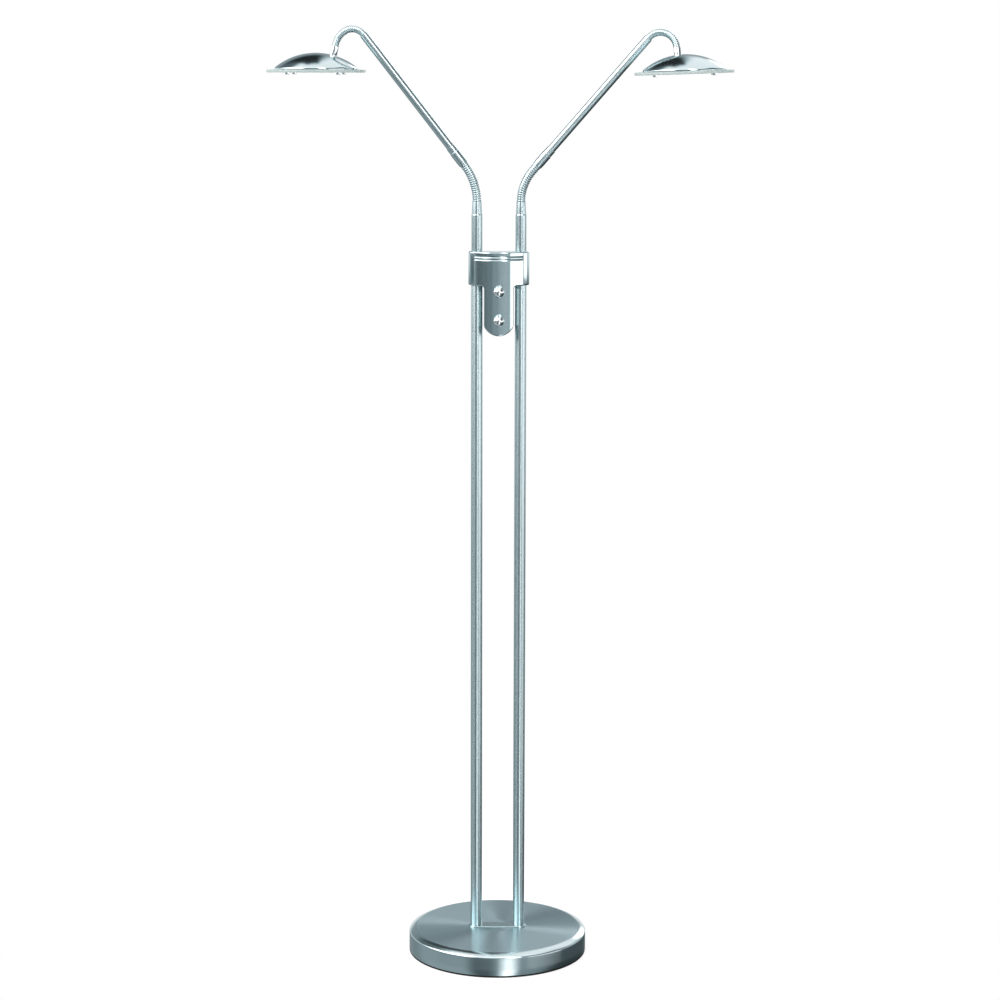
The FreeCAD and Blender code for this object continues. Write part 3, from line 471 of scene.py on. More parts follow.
def lathe(name: str, profile: Sequence[Point], finish: Finish, place: Matrix = Matrix.Identity(4),
          segments: int = FACETS, sharp: float = SHARP, closed: bool = False) -> Piece:
    """Turns a profile about Z.

    Args:
        name: The piece's name.
        profile: Distance from the axis and height, in millimetres, going up on the outside.
        finish: The finish that covers it.
        place: Where the piece's own frame lies.
        segments: Facets round the axis.
        sharp: Edges that turn by more than this many degrees stay sharp.
        closed: Whether the profile is a loop.

    Returns:
        The new object.
    """
    rings: list[list[int]] = []
    verts: list[Vector] = []
    meridians: list[Vector] = []
    turn = place.to_3x3()
    for i, (r, z) in enumerate(profile):
        before, after = profile[max(i - 1, 0)], profile[min(i + 1, len(profile) - 1)]
        out, up = after[0] - before[0], after[1] - before[1]
        if r < ON_AXIS:
            rings.append([len(verts)])
            verts.append(place @ Vector((0, 0, z * MM)))
            meridians.append(turn @ RIGHT)
            continue
        rings.append(list(range(len(verts), len(verts) + segments)))
        for k in range(segments):
            a = 2 * math.pi * k / segments + math.pi / 2
            x, y = math.cos(a), math.sin(a)
            verts.append(place @ Vector((r * x * MM, r * y * MM, z * MM)))
            meridians.append((turn @ Vector((out * x, out * y, up))).normalized())
    lengths = [0.0]
    for here, after in zip(profile, profile[1:]):
        lengths.append(lengths[-1] + math.dist(here, after) * MM)
    pairs = list(zip(range(len(rings)), range(1, len(rings))))
    if closed:
        pairs.append((len(rings) - 1, 0))
        lengths.append(lengths[-1])
    # Distance round the widest ring, folded so that the UV map has no seam
    girth = math.pi * max(r for r, _ in profile) * MM
    around = [girth * (1 - abs(1 - 2 * (k / segments))) for k in range(segments + 1)]
    faces: list[list[int]] = []
    uvs: list[Point] = []
    for i, j in pairs:
        low, high = rings[i], rings[j]
        v0, v1 = lengths[i], lengths[j if j else i + 1]
        for k in range(segments):
            n = (k + 1) % segments
            u0, u1 = around[k], around[k + 1]
            if len(low) == 1:
                faces.append([low[0], high[n], high[k]])
                uvs += [((u0 + u1) / 2, v0), (u1, v1), (u0, v1)]
            elif len(high) == 1:
                faces.append([low[k], low[n], high[0]])
                uvs += [(u0, v0), (u1, v0), ((u0 + u1) / 2, v1)]
            else:
                faces.append([low[k], low[n], high[n], high[k]])
                uvs += [(u0, v0), (u1, v0), (u1, v1), (u0, v1)]
    mesh = bpy.data.meshes.new(name)
    mesh.from_pydata([tuple(v) for v in verts], [], faces)
    for loop, uv in zip(mesh.uv_layers.new(name="UVMap").data, uvs):
        loop.uv = uv
    stored = mesh.attributes.new(MERIDIAN, "FLOAT_VECTOR", "POINT")
    for item, direction in zip(stored.data, meridians):
        item.vector = direction
    mesh.update()
    return new_object(name, mesh, finish, sharp)


def frame_at(point: Vector, z_dir: Vector, x_dir: Vector) -> Matrix:
    """Places a frame at a point.

    Args:
        point: Its origin, in millimetres.
        z_dir: The way its z axis points.
        x_dir: The way its x axis lies near.

    Returns:
        The frame, in metres.
    """
    z = z_dir.normalized()
    y = z.cross(x_dir).normalized()
    turn = Matrix((y.cross(z), y, z)).transposed().to_4x4()
    return Matrix.Translation(point * MM) @ turn


# ---------------------------------------------------------------- routes of the necks and arms

class Route:
    """A centreline of straight runs and arcs in one plane, in millimetres."""

    def __init__(self, start: Vector, direction: Vector, normal: Vector) -> None:
        """Starts the line.

        Args:
            start: Where it starts.
            direction: The way it goes.
            normal: What its plane is square to.
        """
        self.normal = normal.normalized()
        self.knots: list[Knot] = [(0.0, start.copy(), direction.normalized(), None)]
        self.length = 0.0

    def run(self, length: float, radius: Optional[float] = None) -> None:
        """Goes on for a length, straight or turning about the normal at a radius."""
        self.knots.append((self.length, *self.at(self.length), radius))
        self.length += length

    def bend(self, radius: float, degrees: float) -> None:
        """Turns about the normal."""
        self.run(radius * math.radians(degrees), radius)

    def at(self, distance: float) -> tuple[Vector, Vector]:
        """Finds a place on the line.

        Args:
            distance: How far it is from the start.

        Returns:
            The point, and the line's direction there.
        """
        reached = max(distance, 0.0) + SLACK
        start, point, tangent, radius = [k for k in self.knots if k[0] <= reached][-1]
        along = distance - start
        if radius is None or along < 0:
            return point + tangent * along, tangent.copy()
        centre = point + self.normal.cross(tangent) * radius
        turn = Quaternion(self.normal, along / radius)
        return centre + turn @ (point - centre), turn @ tangent


@dataclass(frozen=True)
class Pose:
    """How one side of the lamp is set.

    Attributes:
        sign: -1 on the left, 1 on the right.
        lean: Lean of the arm from upright, in degrees.
        lower_radius: Bend radius of the lower neck.
        arm_free: Length of arm tube that shows.
        first_radius: First bend radius of the upper neck.
        first_turn: Degrees of the first bend.
        second_radius: Second bend radius.
        clock: Direction of the neck fitting on the dome, in degrees.
        tilt: Tilt of the head about Y, in degrees.
    """

    sign: float
    lean: float
    lower_radius: float
    arm_free: float
    first_radius: float
    first_turn: float
    second_radius: float
    clock: float
    tilt: float


POSES = {
    "left": Pose(-1, 37.9, 79.0, 189.5, 18.9, 78.0, 26.4, 17.0, 0.0),
    "right": Pose(1, 41.1, 63.7, 197.5, 20.9, 66.0, 24.4, 106.5, -2.1),
}


@dataclass(frozen=True)
class HoseSpec:
    """A ribbed hose.

    Attributes:
        pitch: Distance between ribs, in millimetres.
        ribs: Ribs in each of its three stretches.
        crest: Outer radius.
        root: Radius between ribs.
    """

    pitch: float
    ribs: tuple[int, int, int]
    crest: float
    root: float

    @property
    def length(self) -> float:
        """Whole length of the ribbed part."""
        return self.pitch * sum(self.ribs)


LOWER_HOSE = HoseSpec(3.0, (6, 6, 6), 6.1, 5.35)
UPPER_HOSE = HoseSpec(2.4, (7, 8, 7), 4.8, 4.15)


@dataclass
class Arm:
    """The routes of one side, worked out from its pose.

    Attributes:
        pose: How the side is set.
        lower: Route of the lower neck and the arm.
        upper: Route of the upper neck and its fitting.
        head: The head's own frame, with its origin on the dome's axis at the rim.
    """

    pose: Pose
    lower: Route = field(init=False)
    upper: Route = field(init=False)
    head: Matrix = field(init=False)

    def __post_init__(self) -> None:
        """Works out both routes and the head's place."""
        pose = self.pose
        lower = Route(Vector((pose.sign * POLE_X, 0, SOCKET_TOP)), UP, Vector((0, pose.sign, 0)))
        lower.bend(pose.lower_radius, pose.lean)
        lower.run(LOWER_HOSE.length - lower.length)
        lower.run(SLEEVE_LENGTH + pose.arm_free)
        slope = math.asin(NECK_OFFSET / DOME_SPHERE)
        rise = math.sqrt(DOME_SPHERE ** 2 - NECK_OFFSET ** 2)
        fitting = Vector((NECK_OFFSET, 0, DOME_CENTRE + rise))
        turn = (Matrix.Rotation(math.radians(pose.tilt), 3, "Y")
                @ Matrix.Rotation(math.radians(pose.clock), 3, "Z"))
        lip_end, along = lower.at(LOWER_HOSE.length + SLEEVE_LENGTH + pose.arm_free)
        down = -(turn @ Vector((math.sin(slope), 0, math.cos(slope))))
        upper = Route(lip_end, along, along.cross(down))
        upper.bend(pose.first_radius, pose.first_turn)
        upper.bend(pose.second_radius, math.degrees(along.angle(down)) - pose.first_turn)
        upper.run(UPPER_HOSE.length - upper.length)
        upper.run(FERRULE_LENGTH)
        touch = upper.at(UPPER_HOSE.length + FERRULE_LENGTH)[0]
        self.lower, self.upper = lower, upper
        self.head = Matrix.Translation((touch - turn @ fitting) * MM) @ turn.to_4x4()


# ---------------------------------------------------------------- ribbed hose

class HoseTree:
    """The Geometry Nodes tree that winds a hose's ribs along a line.

    Attributes:
        NAME: The tree's name.
        INPUTS: Its inputs after the line, with their kinds.
        RIB_SHARE: A rib's wire radius as a share of the pitch.
        SMALLEST: Size of the most uneven rib.
        CORE_FACETS: Facets round the core.
        RIB_FACETS: Facets round a rib.
        WIRE_FACETS: Facets round its wire.
    """

    NAME = "ribbed hose"
    INPUTS = (("Ribs", "Int"), ("Pitch", "Float"), ("Crest", "Float"), ("Root", "Float"),
              ("Seed", "Int"), ("Finish", "Material"))
    RIB_SHARE = 0.44
    SMALLEST = 0.985
    CORE_FACETS, RIB_FACETS, WIRE_FACETS = 48, 64, 20

    @classmethod
    def build(cls) -> Tree:
        """Makes the tree, or finds it if it is there already.

        Returns:
            The tree.
        """
        if cls.NAME in bpy.data.node_groups:
            return bpy.data.node_groups[cls.NAME]
        tree = bpy.data.node_groups.new(cls.NAME, "GeometryNodeTree")
        face = tree.interface
        face.new_socket("Geometry", in_out="INPUT", socket_type="NodeSocketGeometry")
        for name, kind in cls.INPUTS:
            face.new_socket(name, in_out="INPUT", socket_type="NodeSocket" + kind)
        face.new_socket("Geometry", in_out="OUTPUT", socket_type="NodeSocketGeometry")
        given = add(tree, "NodeGroupInput").outputs
        curve = add(tree, "GeometryNodeMeshToCurve", (given["Geometry"],))
        half = add(tree, MATH, (given["Pitch"], 0.5), operation="MULTIPLY")
        end = add(tree, "GeometryNodeCurveLength", (curve,))
        last = add(tree, MATH, (end, half), operation="SUBTRACT")
        trimmed = add(tree, "GeometryNodeTrimCurve", {
            "Curve": curve, 4: half, 5: last}, mode="LENGTH")
        points = add(tree, "GeometryNodeCurveToPoints", {
            "Curve": trimmed, "Count": given["Ribs"]}, mode="COUNT").outputs
        wire = add(tree, MATH, (given["Pitch"], cls.RIB_SHARE), operation="MULTIPLY")
        rail = add(tree, MATH, (given["Crest"], wire), operation="SUBTRACT")
        rings = [add(tree, "GeometryNodeCurvePrimitiveCircle", {
            "Resolution": facets, "Radius": radius}) for facets, radius in (
                (cls.CORE_FACETS, given["Root"]), (cls.RIB_FACETS, rail), (cls.WIRE_FACETS, wire))]
        core, rib = [add(tree, "GeometryNodeCurveToMesh", {
            "Curve": line, "Profile Curve": ring}) for line, ring in (
                (curve, rings[0]), (rings[1], rings[2]))]
        spread = add(tree, "FunctionNodeRandomValue", {
            2: cls.SMALLEST, 3: 1.0, "Seed": given["Seed"]}, data_type="FLOAT").outputs[1]
        size = add(tree, "ShaderNodeCombineXYZ", (spread, spread, 1.0))
        ribs = add(tree, "GeometryNodeInstanceOnPoints", {
            "Points": points["Points"], "Instance": rib, "Rotation": points["Rotation"],
            "Scale": size})
        joined = add(tree, "GeometryNodeJoinGeometry")
        for part in (core, ribs):
            feed(tree, joined, (part,))
        real = add(tree, "GeometryNodeRealizeInstances", (joined,))
        smooth = add(tree, "GeometryNodeSetShadeSmooth", (real,))
        done = add(tree, "GeometryNodeSetMaterial", {
            "Geometry": smooth, "Material": given["Finish"]})
        add(tree, "NodeGroupOutput", (done,))
        return tree


def socket_key(tree: Tree, name: str) -> str:
    """Finds the identifier of a tree's named input.

    Args:
        tree: The tree.
        name: The input's name.

    Returns:
        The identifier, by which a modifier sets it.
    """
    for item in tree.interface.items_tree:
        if item.item_type == "SOCKET" and item.in_out == "INPUT" and item.name == name:
            return item.identifier
    raise KeyError(name)


def hose(name: str, route: Route, start: float, ribs: int, spec: HoseSpec, seed: int) -> Piece:
    """One stretch of ribbed hose.

    Args:
        name: The piece's name.
        route: The line that it follows.
        start: Where it starts along the route.
        ribs: Number of ribs.
        spec: The hose's sizes.
        seed: Seed of the ribs' slight unevenness.

    Returns:
        The finished mesh object.
    """
    steps = ribs * 4
    spots = [route.at(start + ribs * spec.pitch * k / steps)[0] * MM for k in range(steps + 1)]
    line = bpy.data.meshes.new(name + "_line")
    line.from_pydata([tuple(s) for s in spots], [(k, k + 1) for k in range(steps)], [])
    carrier = bpy.data.objects.new(name + "_line", line)
    bpy.context.scene.collection.objects.link(carrier)
    tree = HoseTree.build()
    modifier = carrier.modifiers.new("ribs", "NODES")
    modifier.node_group = tree
    values = (ribs, spec.pitch * MM, spec.crest * MM, spec.root * MM, seed, CAST_NICKEL.build())
    for (key, _), value in zip(HoseTree.INPUTS, values):
        modifier[socket_key(tree, key)] = value
    graph = bpy.context.evaluated_depsgraph_get()
    mesh = bpy.data.meshes.new_from_object(carrier.evaluated_get(graph), depsgraph=graph)
    bpy.data.objects.remove(carrier)
    mesh.name = name
    return new_object(name, mesh, CAST_NICKEL, 80.0)


# ---------------------------------------------------------------- pressed pieces

def apart(points: Sequence[Point]) -> list[Point]:
    """Drops points of a closed outline that lie on their neighbour.

    Args:
        points: The outline.

    Returns:
        The points that are left.
    """
    kept: list[Point] = []
    for p in points:
        if not kept or math.dist(p, kept[-1]) > SAME_POINT:
            kept.append(p)
    return kept[:-1] if math.dist(kept[0], kept[-1]) < SAME_POINT else kept


def stadium(radius: float) -> list[Point]:
    """Plan of a block with a round end about each pole, clockwise."""
    right = arc((POLE_X, 0.0), radius, math.pi / 2, -math.pi / 2, 32)
    return apart(right + [(-x, -y) for x, y in right])


def drawn_in(outline: Sequence[Point], inset: float) -> list[Point]:
    """Moves a closed outline inward.

    Args:
        outline: Points clockwise, in millimetres.
        inset: How far they move.

    Returns:
        As many points, moved square to the outline.
    """
    moved: list[Point] = []
    count = len(outline)
    for i, (x, z) in enumerate(outline):
        before, after = Vector(outline[i - 1]), Vector(outline[(i + 1) % count])
        here = Vector((x, z))
        first, second = (here - before).normalized(), (after - here).normalized()
        inward = Vector((first.y, -first.x)) + Vector((second.y, -second.x))
        inward = inward / max(inward.length_squared / 2, 0.5)
        moved.append((x + inward.x * inset, z + inward.y * inset))
    return moved


def lip(radius: float, steps: int = 4, support: float = 0.35) -> list[Point]:
    """A rounded edge, from the side wall to the face.

    Args:
        radius: Its radius.
        steps: Spans in it.
        support: Distance to the ring that keeps the face flat.

    Returns:
        Pairs of inset and distance behind the face.
    """
    turns = [math.pi / 2 * k / steps for k in range(steps + 1)]
    pairs = [(radius * (1 - math.cos(a)), radius * (1 - math.sin(a))) for a in turns]
    return pairs + [(radius + support, 0.0)]


def skinned(work: Work, rings: Sequence[Sequence[Vector]], hollow: bool = False) -> None:
    """Skins rings of equal count and closes their ends.

    Args:
        work: The mesh being built.
        rings: The rings in order.
        hollow: Whether the first ring stays open.
    """
    made = [[work.verts.new(v) for v in ring] for ring in rings]
    for low, high in zip(made, made[1:]):
        for i in range(len(low)):
            j = (i + 1) % len(low)
            work.faces.new((low[i], low[j], high[j], high[i]))
    if not hollow:
        work.faces.new(made[0])
    work.faces.new(made[-1])


def finished(name: str, work: Work, finish: Finish) -> Piece:
    """Turns a bmesh in millimetres into an object in metres, faces outward.

    Args:
        name: The piece's name.
        work: The mesh being built, which is freed.
        finish: The finish that covers it.

    Returns:
        The new object.
    """
    bmesh.ops.scale(work, vec=(MM, MM, MM), verts=work.verts)
    bmesh.ops.recalc_face_normals(work, faces=work.faces)
    mesh = bpy.data.meshes.new(name)
    work.to_mesh(mesh)
    work.free()
    return new_object(name, mesh, finish, 40.0)


def block_rings(outline: Sequence[Point], low: float, high: float, low_edge: float,
                high_edge: float) -> list[list[Vector]]:
    """Rings of a block whose plan is an outline, with both rims rounded.

    Args:
        outline: Plan, as points clockwise in millimetres.
        low: Height of its underside.
        high: Height of its top.
        low_edge: Radius of the lower rim.
        high_edge: Radius of the upper rim.

    Returns:
        Rings from the underside to the top.
    """
    levels = [(inset, low + behind) for inset, behind in reversed(lip(low_edge))]
    levels += [(inset, high - behind) for inset, behind in lip(high_edge)]
    return [[Vector((x, y, z)) for x, y in drawn_in(outline, inset)] for inset, z in levels]


# ---------------------------------------------------------------- sub-assemblies

class Part:
    """What every sub-assembly shares."""

    def done(self, obj: Piece, body: str, slot: str, node: str) -> None:
        """Lets a piece ride on a body and stand for a CAD node, and logs it.

        Args:
            obj: The piece.
            body: The body that it rides on.
            slot: Not used.
            node: The CAD node that it stands for.
        """
        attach(obj, body)
        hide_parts(node)
        log.info("%s rides on %s", obj.name, body)


@dataclass
class Base(Part):
    """Spun cover with its tight shoulder, the pad under it, the cord inlet and the pole plate.

    Attributes:
        foot: Height of the cover's lower edge.
        flat_radius: Edge of the flat top.
        side_height: Where the shoulder meets the side.
        steep: Angle where the shoulder's tight bend meets its broad one, in degrees.
        shallow: Angle where the broad bend meets the top.
        pad_radius: Radius of the pad.
        pad_top: Height of its top.
        plate_radius: Round ends of the plate.
        inlet_height: Height of the cord inlet.
    """

    foot: float = 2.4
    flat_radius: float = 114.6
    side_height: float = 27.2
    steep: float = 35.0
    shallow: float = 8.0
    pad_radius: float = 124.8
    pad_top: float = 2.35
    plate_radius: float = 10.3
    inlet_height: float = 13.0

    def profile(self) -> list[Point]:
        """Draws the cover from the pad up the side and across the top.

        Returns:
            Its profile.
        """
        foot = self.foot
        points = [(BASE_RADIUS - 1.5, foot), (BASE_RADIUS - 0.5, foot),
                  (BASE_RADIUS - 0.15, foot + 0.15), (BASE_RADIUS, foot + 0.5),
                  (BASE_RADIUS, 12.0), (BASE_RADIUS, 22.0)]
        start, mid = math.radians(self.shallow), math.radians(self.steep)
        p, q = math.sin(mid) - math.sin(start), 1 - math.sin(mid)
        r, t = math.cos(start) - math.cos(mid), math.cos(mid)
        width, drop = BASE_RADIUS - self.flat_radius, BASE_HEIGHT - self.side_height
        tight = (r * width - p * drop) / (r * q - p * t)
        broad = (width - q * tight) / p
        points += arc((BASE_RADIUS - tight, self.side_height), tight, 0.0, math.pi / 2 - mid, 14)
        centre = (self.flat_radius - broad * math.sin(start), BASE_HEIGHT - broad * math.cos(start))
        points += arc(centre, broad, math.pi / 2 - mid, math.pi / 2 - start, 16, 1)
        return points + [(r, BASE_HEIGHT) for r in (self.flat_radius - 0.6, 90.0, 60.0, 30.0, 0.0)]

    def build(self) -> None:
        """Makes the base's pieces."""
        cover = lathe("base_shell", self.profile(), SPUN_NICKEL, segments=256, sharp=30)
        # The flat top takes the darker copy of the same nickel: painted shade on its reflections
        cover.data.materials.append(SHADED_SPUN_TOP.build())
        for face in cover.data.polygons:
            face.material_index = int(face.center.z > (BASE_HEIGHT - 0.01) * MM)
        self.done(cover, "stand", "satin_nickel", "base_cover")
        edge, top = self.pad_radius, self.pad_top
        pad = [(0.0, 0.0), (110.0, 0.0), (edge - 0.5, 0.0), (edge - 0.1, 0.2), (edge, 0.6),
               (edge, top), (118.0, top), (0.0, top)]
        pad_piece = lathe("floor_pad", pad, BLACK_RUBBER, segments=192)
        self.done(pad_piece, "stand", "black_rubber", "base_pad")
        bush = [(3.5, -1.0), (3.5, 1.2), (3.9, 1.6), (6.9, 1.6), (7.4, 1.1), (7.5, 0.05),
                (5.2, 0.05), (5.2, -1.0)]
        place = frame_at(Vector((0, BASE_RADIUS, self.inlet_height)), -FORWARD, RIGHT)
        inlet = lathe("inlet_bush", bush, BLACK_RUBBER, place, 48, closed=True)
        self.done(inlet, "stand", "black_rubber", "cord_grommet")
        work = bmesh.new()
        skinned(work, block_rings(stadium(self.plate_radius), BASE_HEIGHT, POLE_BOTTOM, 0.05, 0.7))
        self.done(finished("pole_plate", work, PRESSED_NICKEL), "stand", "satin_nickel",
                  "foot_plate")


@dataclass
class Poles(Part):
    """The two poles and the sockets on top of them.

    Attributes:
        bore: Inner radius of a pole.
        socket_bottom: Height of a socket's lower end.
        socket_radius: Outer radius of a socket.
        socket_neck: Its outer radius at the top.
        socket_bore: Its inner radius there.
        step: Height where it narrows.
    """

    bore: float = 6.8
    socket_bottom: float = 968.1
    socket_radius: float = 7.6
    socket_neck: float = 6.5
    socket_bore: float = 5.9
    step: float = 1040.0

    def build(self) -> None:
        """Makes both poles and both sockets."""
        tube = rounded([
            (0, POLE_BOTTOM), (POLE_RADIUS, POLE_BOTTOM, 0.3), (POLE_RADIUS, 300),
            (POLE_RADIUS, 600), (POLE_RADIUS, POLE_TOP, 0.3), (self.bore, POLE_TOP)])
        socket = rounded([
            (6.7, self.socket_bottom), (self.socket_radius, self.socket_bottom, 0.3),
            (self.socket_radius, self.step, 0.3), (7.1, self.step + 1.5, 0.6),
            (self.socket_neck, SOCKET_TOP, 0.4), (self.socket_bore, SOCKET_TOP, 0.1),
            (self.socket_bore, SOCKET_TOP - 3)])
        for side, pose in POSES.items():
            place = Matrix.Translation(Vector((pose.sign * POLE_X, 0, 0)) * MM)
            for name, profile, node in (("pole_tube", tube, "pole"),
                                        ("socket", socket, "neck_socket")):
                piece = lathe(f"{name}_{side}", profile, SATIN_NICKEL, place)
                self.done(piece, "stand", "satin_nickel", f"{node}_{side}")


@dataclass
class Bracket(Part):
    """The housing across both poles, its curved cover and the tongue that carries the knobs.

    Attributes:
        half_width: Half the cover's width.
        corner: Radius where the tongue leaves the cover.
        end_radius: Radius of the tongue's round end.
        end_corner: Radius between that end and the sides.
        edge: Radius of the cover's rolled edge.
        slices: Upright strips that the cover is curved in.
        back: Depth of the cover's rear edge behind its upper part.
        grooves: Heights of the pressed grooves.
        groove_depth: Their depth.
        groove_half: Half their width.
        groove_steps: Strips in the width of a groove.
        ball: Radius of a knob.
        ball_out: Distance of its centre from the cover.
        nut_rings: Radius of each ring of a bush nut and its distance from the cover.
    """

    half_width: float = 34.8
    corner: float = 5.0
    end_radius: float = 23.0
    end_corner: float = 5.0
    edge: float = 1.5
    slices: int = 56
    back: float = -10.7
    grooves: tuple[float, float] = (984.3, 980.6)
    groove_depth: float = 0.9
    groove_half: float = 1.3
    groove_steps: int = 8
    ball: float = 7.5
    ball_out: float = 10.0
    nut_rings: tuple[Point, ...] = (
        (3.6, 0.06), (4.6, 0.06), (4.8, 0.3), (4.8, 1.2), (4.6, 1.5), (3.55, 1.55))

    def front(self, x: float) -> float:
        """Depth of the cover's face at a distance from its middle."""
        return COVER_RADIUS - COVER_BULGE - math.sqrt(COVER_RADIUS ** 2 - x ** 2)

    def tongue_half(self, top: float) -> list[Point]:
        """Draws the tongue's right side.

        Args:
            top: Height that it starts from.

        Returns:
            Its points, down to the lowest one.
        """
        half, centre = TONGUE_HALF_WIDTH, TONGUE_BOTTOM + self.end_radius
        across = half - self.end_corner
        drop = math.sqrt((self.end_radius - self.end_corner) ** 2 - across ** 2)
        height = centre - drop
        last = math.atan2(drop, across)
        points = [(half, height + (top - height) * k / 6) for k in range(6, 0, -1)]
        points += arc((across, height), self.end_corner, 0.0, -last, 8)
        return points + arc((0.0, centre), self.end_radius, -last, -math.pi / 2, 24, 1)

    def cover_outline(self) -> list[Point]:
        """Draws the cover and its tongue from the front.

        Returns:
            The outline, clockwise.
        """
        right = rounded([(0, BRACKET_TOP), (self.half_width, BRACKET_TOP, 1.2),
                         (self.half_width, BRACKET_BOTTOM, 1.6), (30.0, BRACKET_BOTTOM)])
        centre = (TONGUE_HALF_WIDTH + self.corner, BRACKET_BOTTOM - self.corner)
        right += arc(centre, self.corner, math.pi / 2, math.pi, 12)
        right += self.tongue_half(BRACKET_BOTTOM - self.corner - 4.0)
        return apart(right + [(-x, z) for x, z in reversed(right)])

    def cut(self, work: Work, point: Sequence[float], normal: Sequence[float]) -> None:
        """Cuts the mesh along a plane, so that it can be bent there."""
        geometry = work.verts[:] + work.edges[:] + work.faces[:]
        bmesh.ops.bisect_plane(work, geom=geometry, plane_co=point, plane_no=normal)

    def sunk(self, height: float) -> float:
        """How far the grooves sink the cover's face at a height."""
        away = [min(abs(height - groove) / self.groove_half, 1.0) for groove in self.grooves]
        return sum(self.groove_depth * (0.5 + 0.5 * math.cos(math.pi * share)) for share in away)

    def cover(self) -> Piece:
        """Makes the curved front with its grooves and rolled edge.

        Returns:
            The piece.
        """
        outline = self.cover_outline()
        work = bmesh.new()
        skinned(work, [[Vector((x, behind, z)) for x, z in drawn_in(outline, inset)]
                       for inset, behind in lip(self.edge)], hollow=True)
        for k in range(1, self.slices):
            # Slightly off the outline's own points, which a cut would double
            self.cut(work, (self.half_width * (2 * k / self.slices - 1) + 0.013, 0, 0), (1, 0, 0))
        reach = self.groove_steps // 2 + 1
        for groove in self.grooves:
            for k in range(-reach, reach + 1):
                level = groove + self.groove_half * 2 * k / self.groove_steps
                self.cut(work, (0, 0, level), (0, 0, 1))
        rim = [e for e in work.edges if e.is_boundary]
        for vert in work.verts:
            sunk = vert.co.y + self.sunk(vert.co.z)
            normal = vert.co.x / COVER_RADIUS
            face = self.front(vert.co.x)
            vert.co.x -= sunk * normal
            vert.co.y = face + sunk * math.sqrt(1 - normal ** 2)
        grown = bmesh.ops.extrude_edge_only(work, edges=rim)["geom"]
        for vert in [v for v in grown if isinstance(v, bmesh.types.BMVert)]:
            vert.co.y = self.back if vert.co.z > BRACKET_BOTTOM - 0.5 else -TONGUE_SPLIT
        bmesh.ops.contextual_create(work, geom=[e for e in work.edges if e.is_boundary])
        return finished("cover_shell", work, PRESSED_NICKEL)

    def housing(self) -> Piece:
        """Makes the block round both poles, and the rear of the tongue.

        Returns:
            The piece.
        """
        work = bmesh.new()
        skinned(work, block_rings(stadium(WRAP_RADIUS), BRACKET_BOTTOM, BRACKET_TOP, 2.2, 2.0))
        half = self.tongue_half(BRACKET_BOTTOM + 1.0)
        outline = apart(half + [(-x, z) for x, z in reversed(half)])
        front = 0.1 - TONGUE_SPLIT
        depths = [(0.6, front), (0.0, front)]
        depths += [(inset, 2.0 - behind) for inset, behind in lip(0.8)]
        skinned(work, [[Vector((x, depth, z)) for x, z in drawn_in(outline, inset)]
                       for inset, depth in depths])
        return finished("housing", work, CAST_NICKEL)

    def knob(self, level: str, height: float) -> None:
        """Makes one ball knob on its short stem.

        Args:
            level: upper or lower.
            height: Height of its axis.
        """
        place = frame_at(Vector((0, -COVER_BULGE, height)), FORWARD, RIGHT)
        profile = [(3.05, 2.45), (3.6, 2.5), (3.9, 2.75)]
        profile += arc((0.0, self.ball_out), self.ball, -math.pi / 2, math.pi / 2, 48, 6)
        piece = lathe(f"ball_knob_{level}", profile, BRIGHT_NICKEL, place, 64)
        self.done(piece, f"{level}_knob", "bright_nickel", f"knob_{level}")

    def build(self) -> None:
        """Makes the bracket's pieces and the knobs on it."""
        self.done(self.cover(), "stand", "satin_nickel", "bracket_cover")
        self.done(self.housing(), "stand", "satin_nickel", "bracket_body")
        work = bmesh.new()
        for level, height in zip(("upper", "lower"), KNOB_HEIGHTS):
            self.knob(level, height)
            skinned(work, [[Vector((x, -COVER_BULGE - out, z))
                            for x, z in arc((0.0, height), radius, 0.0, 2 * math.pi, 48)[:-1]]
                           for radius, out in self.nut_rings])
        self.done(finished("bush_nuts", work, BRIGHT_NICKEL), "stand", "bright_nickel",
                  "dimmer_nuts")


@dataclass
class Neck(Part):
    """A flexible neck, made in two halves that meet in its middle stretch.

    Attributes:
        side: left or right.
        level: lower or upper.
        route: The line that it follows.
        spec: The hose's sizes.
        bodies: The bodies at its root, middle and end.
        last: What the CAD calls its last stretch.
    """

    side: str
    level: str
    route: Route
    spec: HoseSpec
    bodies: tuple[str, str, str]
    last: str

    def build(self) -> None:
        """Makes both halves."""
        first, second, third = self.spec.ribs
        root, middle, end = self.bodies
        near_ribs = first + second // 2
        far_ribs = second - second // 2 + third
        joint = near_ribs * self.spec.pitch
        self.half("near", 0.0, near_ribs, 3, (root, middle), ("base", "middle"))
        self.half("far", joint, far_ribs, 7, (middle, end), (self.last,))

    def half(self, name: str, start: float, ribs: int, seed: int, bodies: tuple[str, str],
             nodes: Sequence[str]) -> None:
        """Makes one half of the neck.

        Args:
            name: near or far.
            start: Where it starts along the route.
            ribs: Number of ribs.
            seed: Seed of their unevenness.
            bodies: The bodies at its two ends.
            nodes: The stretches of the CAD that it stands for.
        """
        obj = hose(f"{self.level}_hose_{name}_{self.side}", self.route, start, ribs, self.spec,
                   seed)
        spots = [self.route.at(s)[0] * MM for s in (start, start + ribs * self.spec.pitch)]
        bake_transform(obj)
        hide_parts(*[f"{self.level}_neck_{node}_{self.side}" for node in nodes])
        log.info("%s bends between %s and %s", obj.name, *bodies)


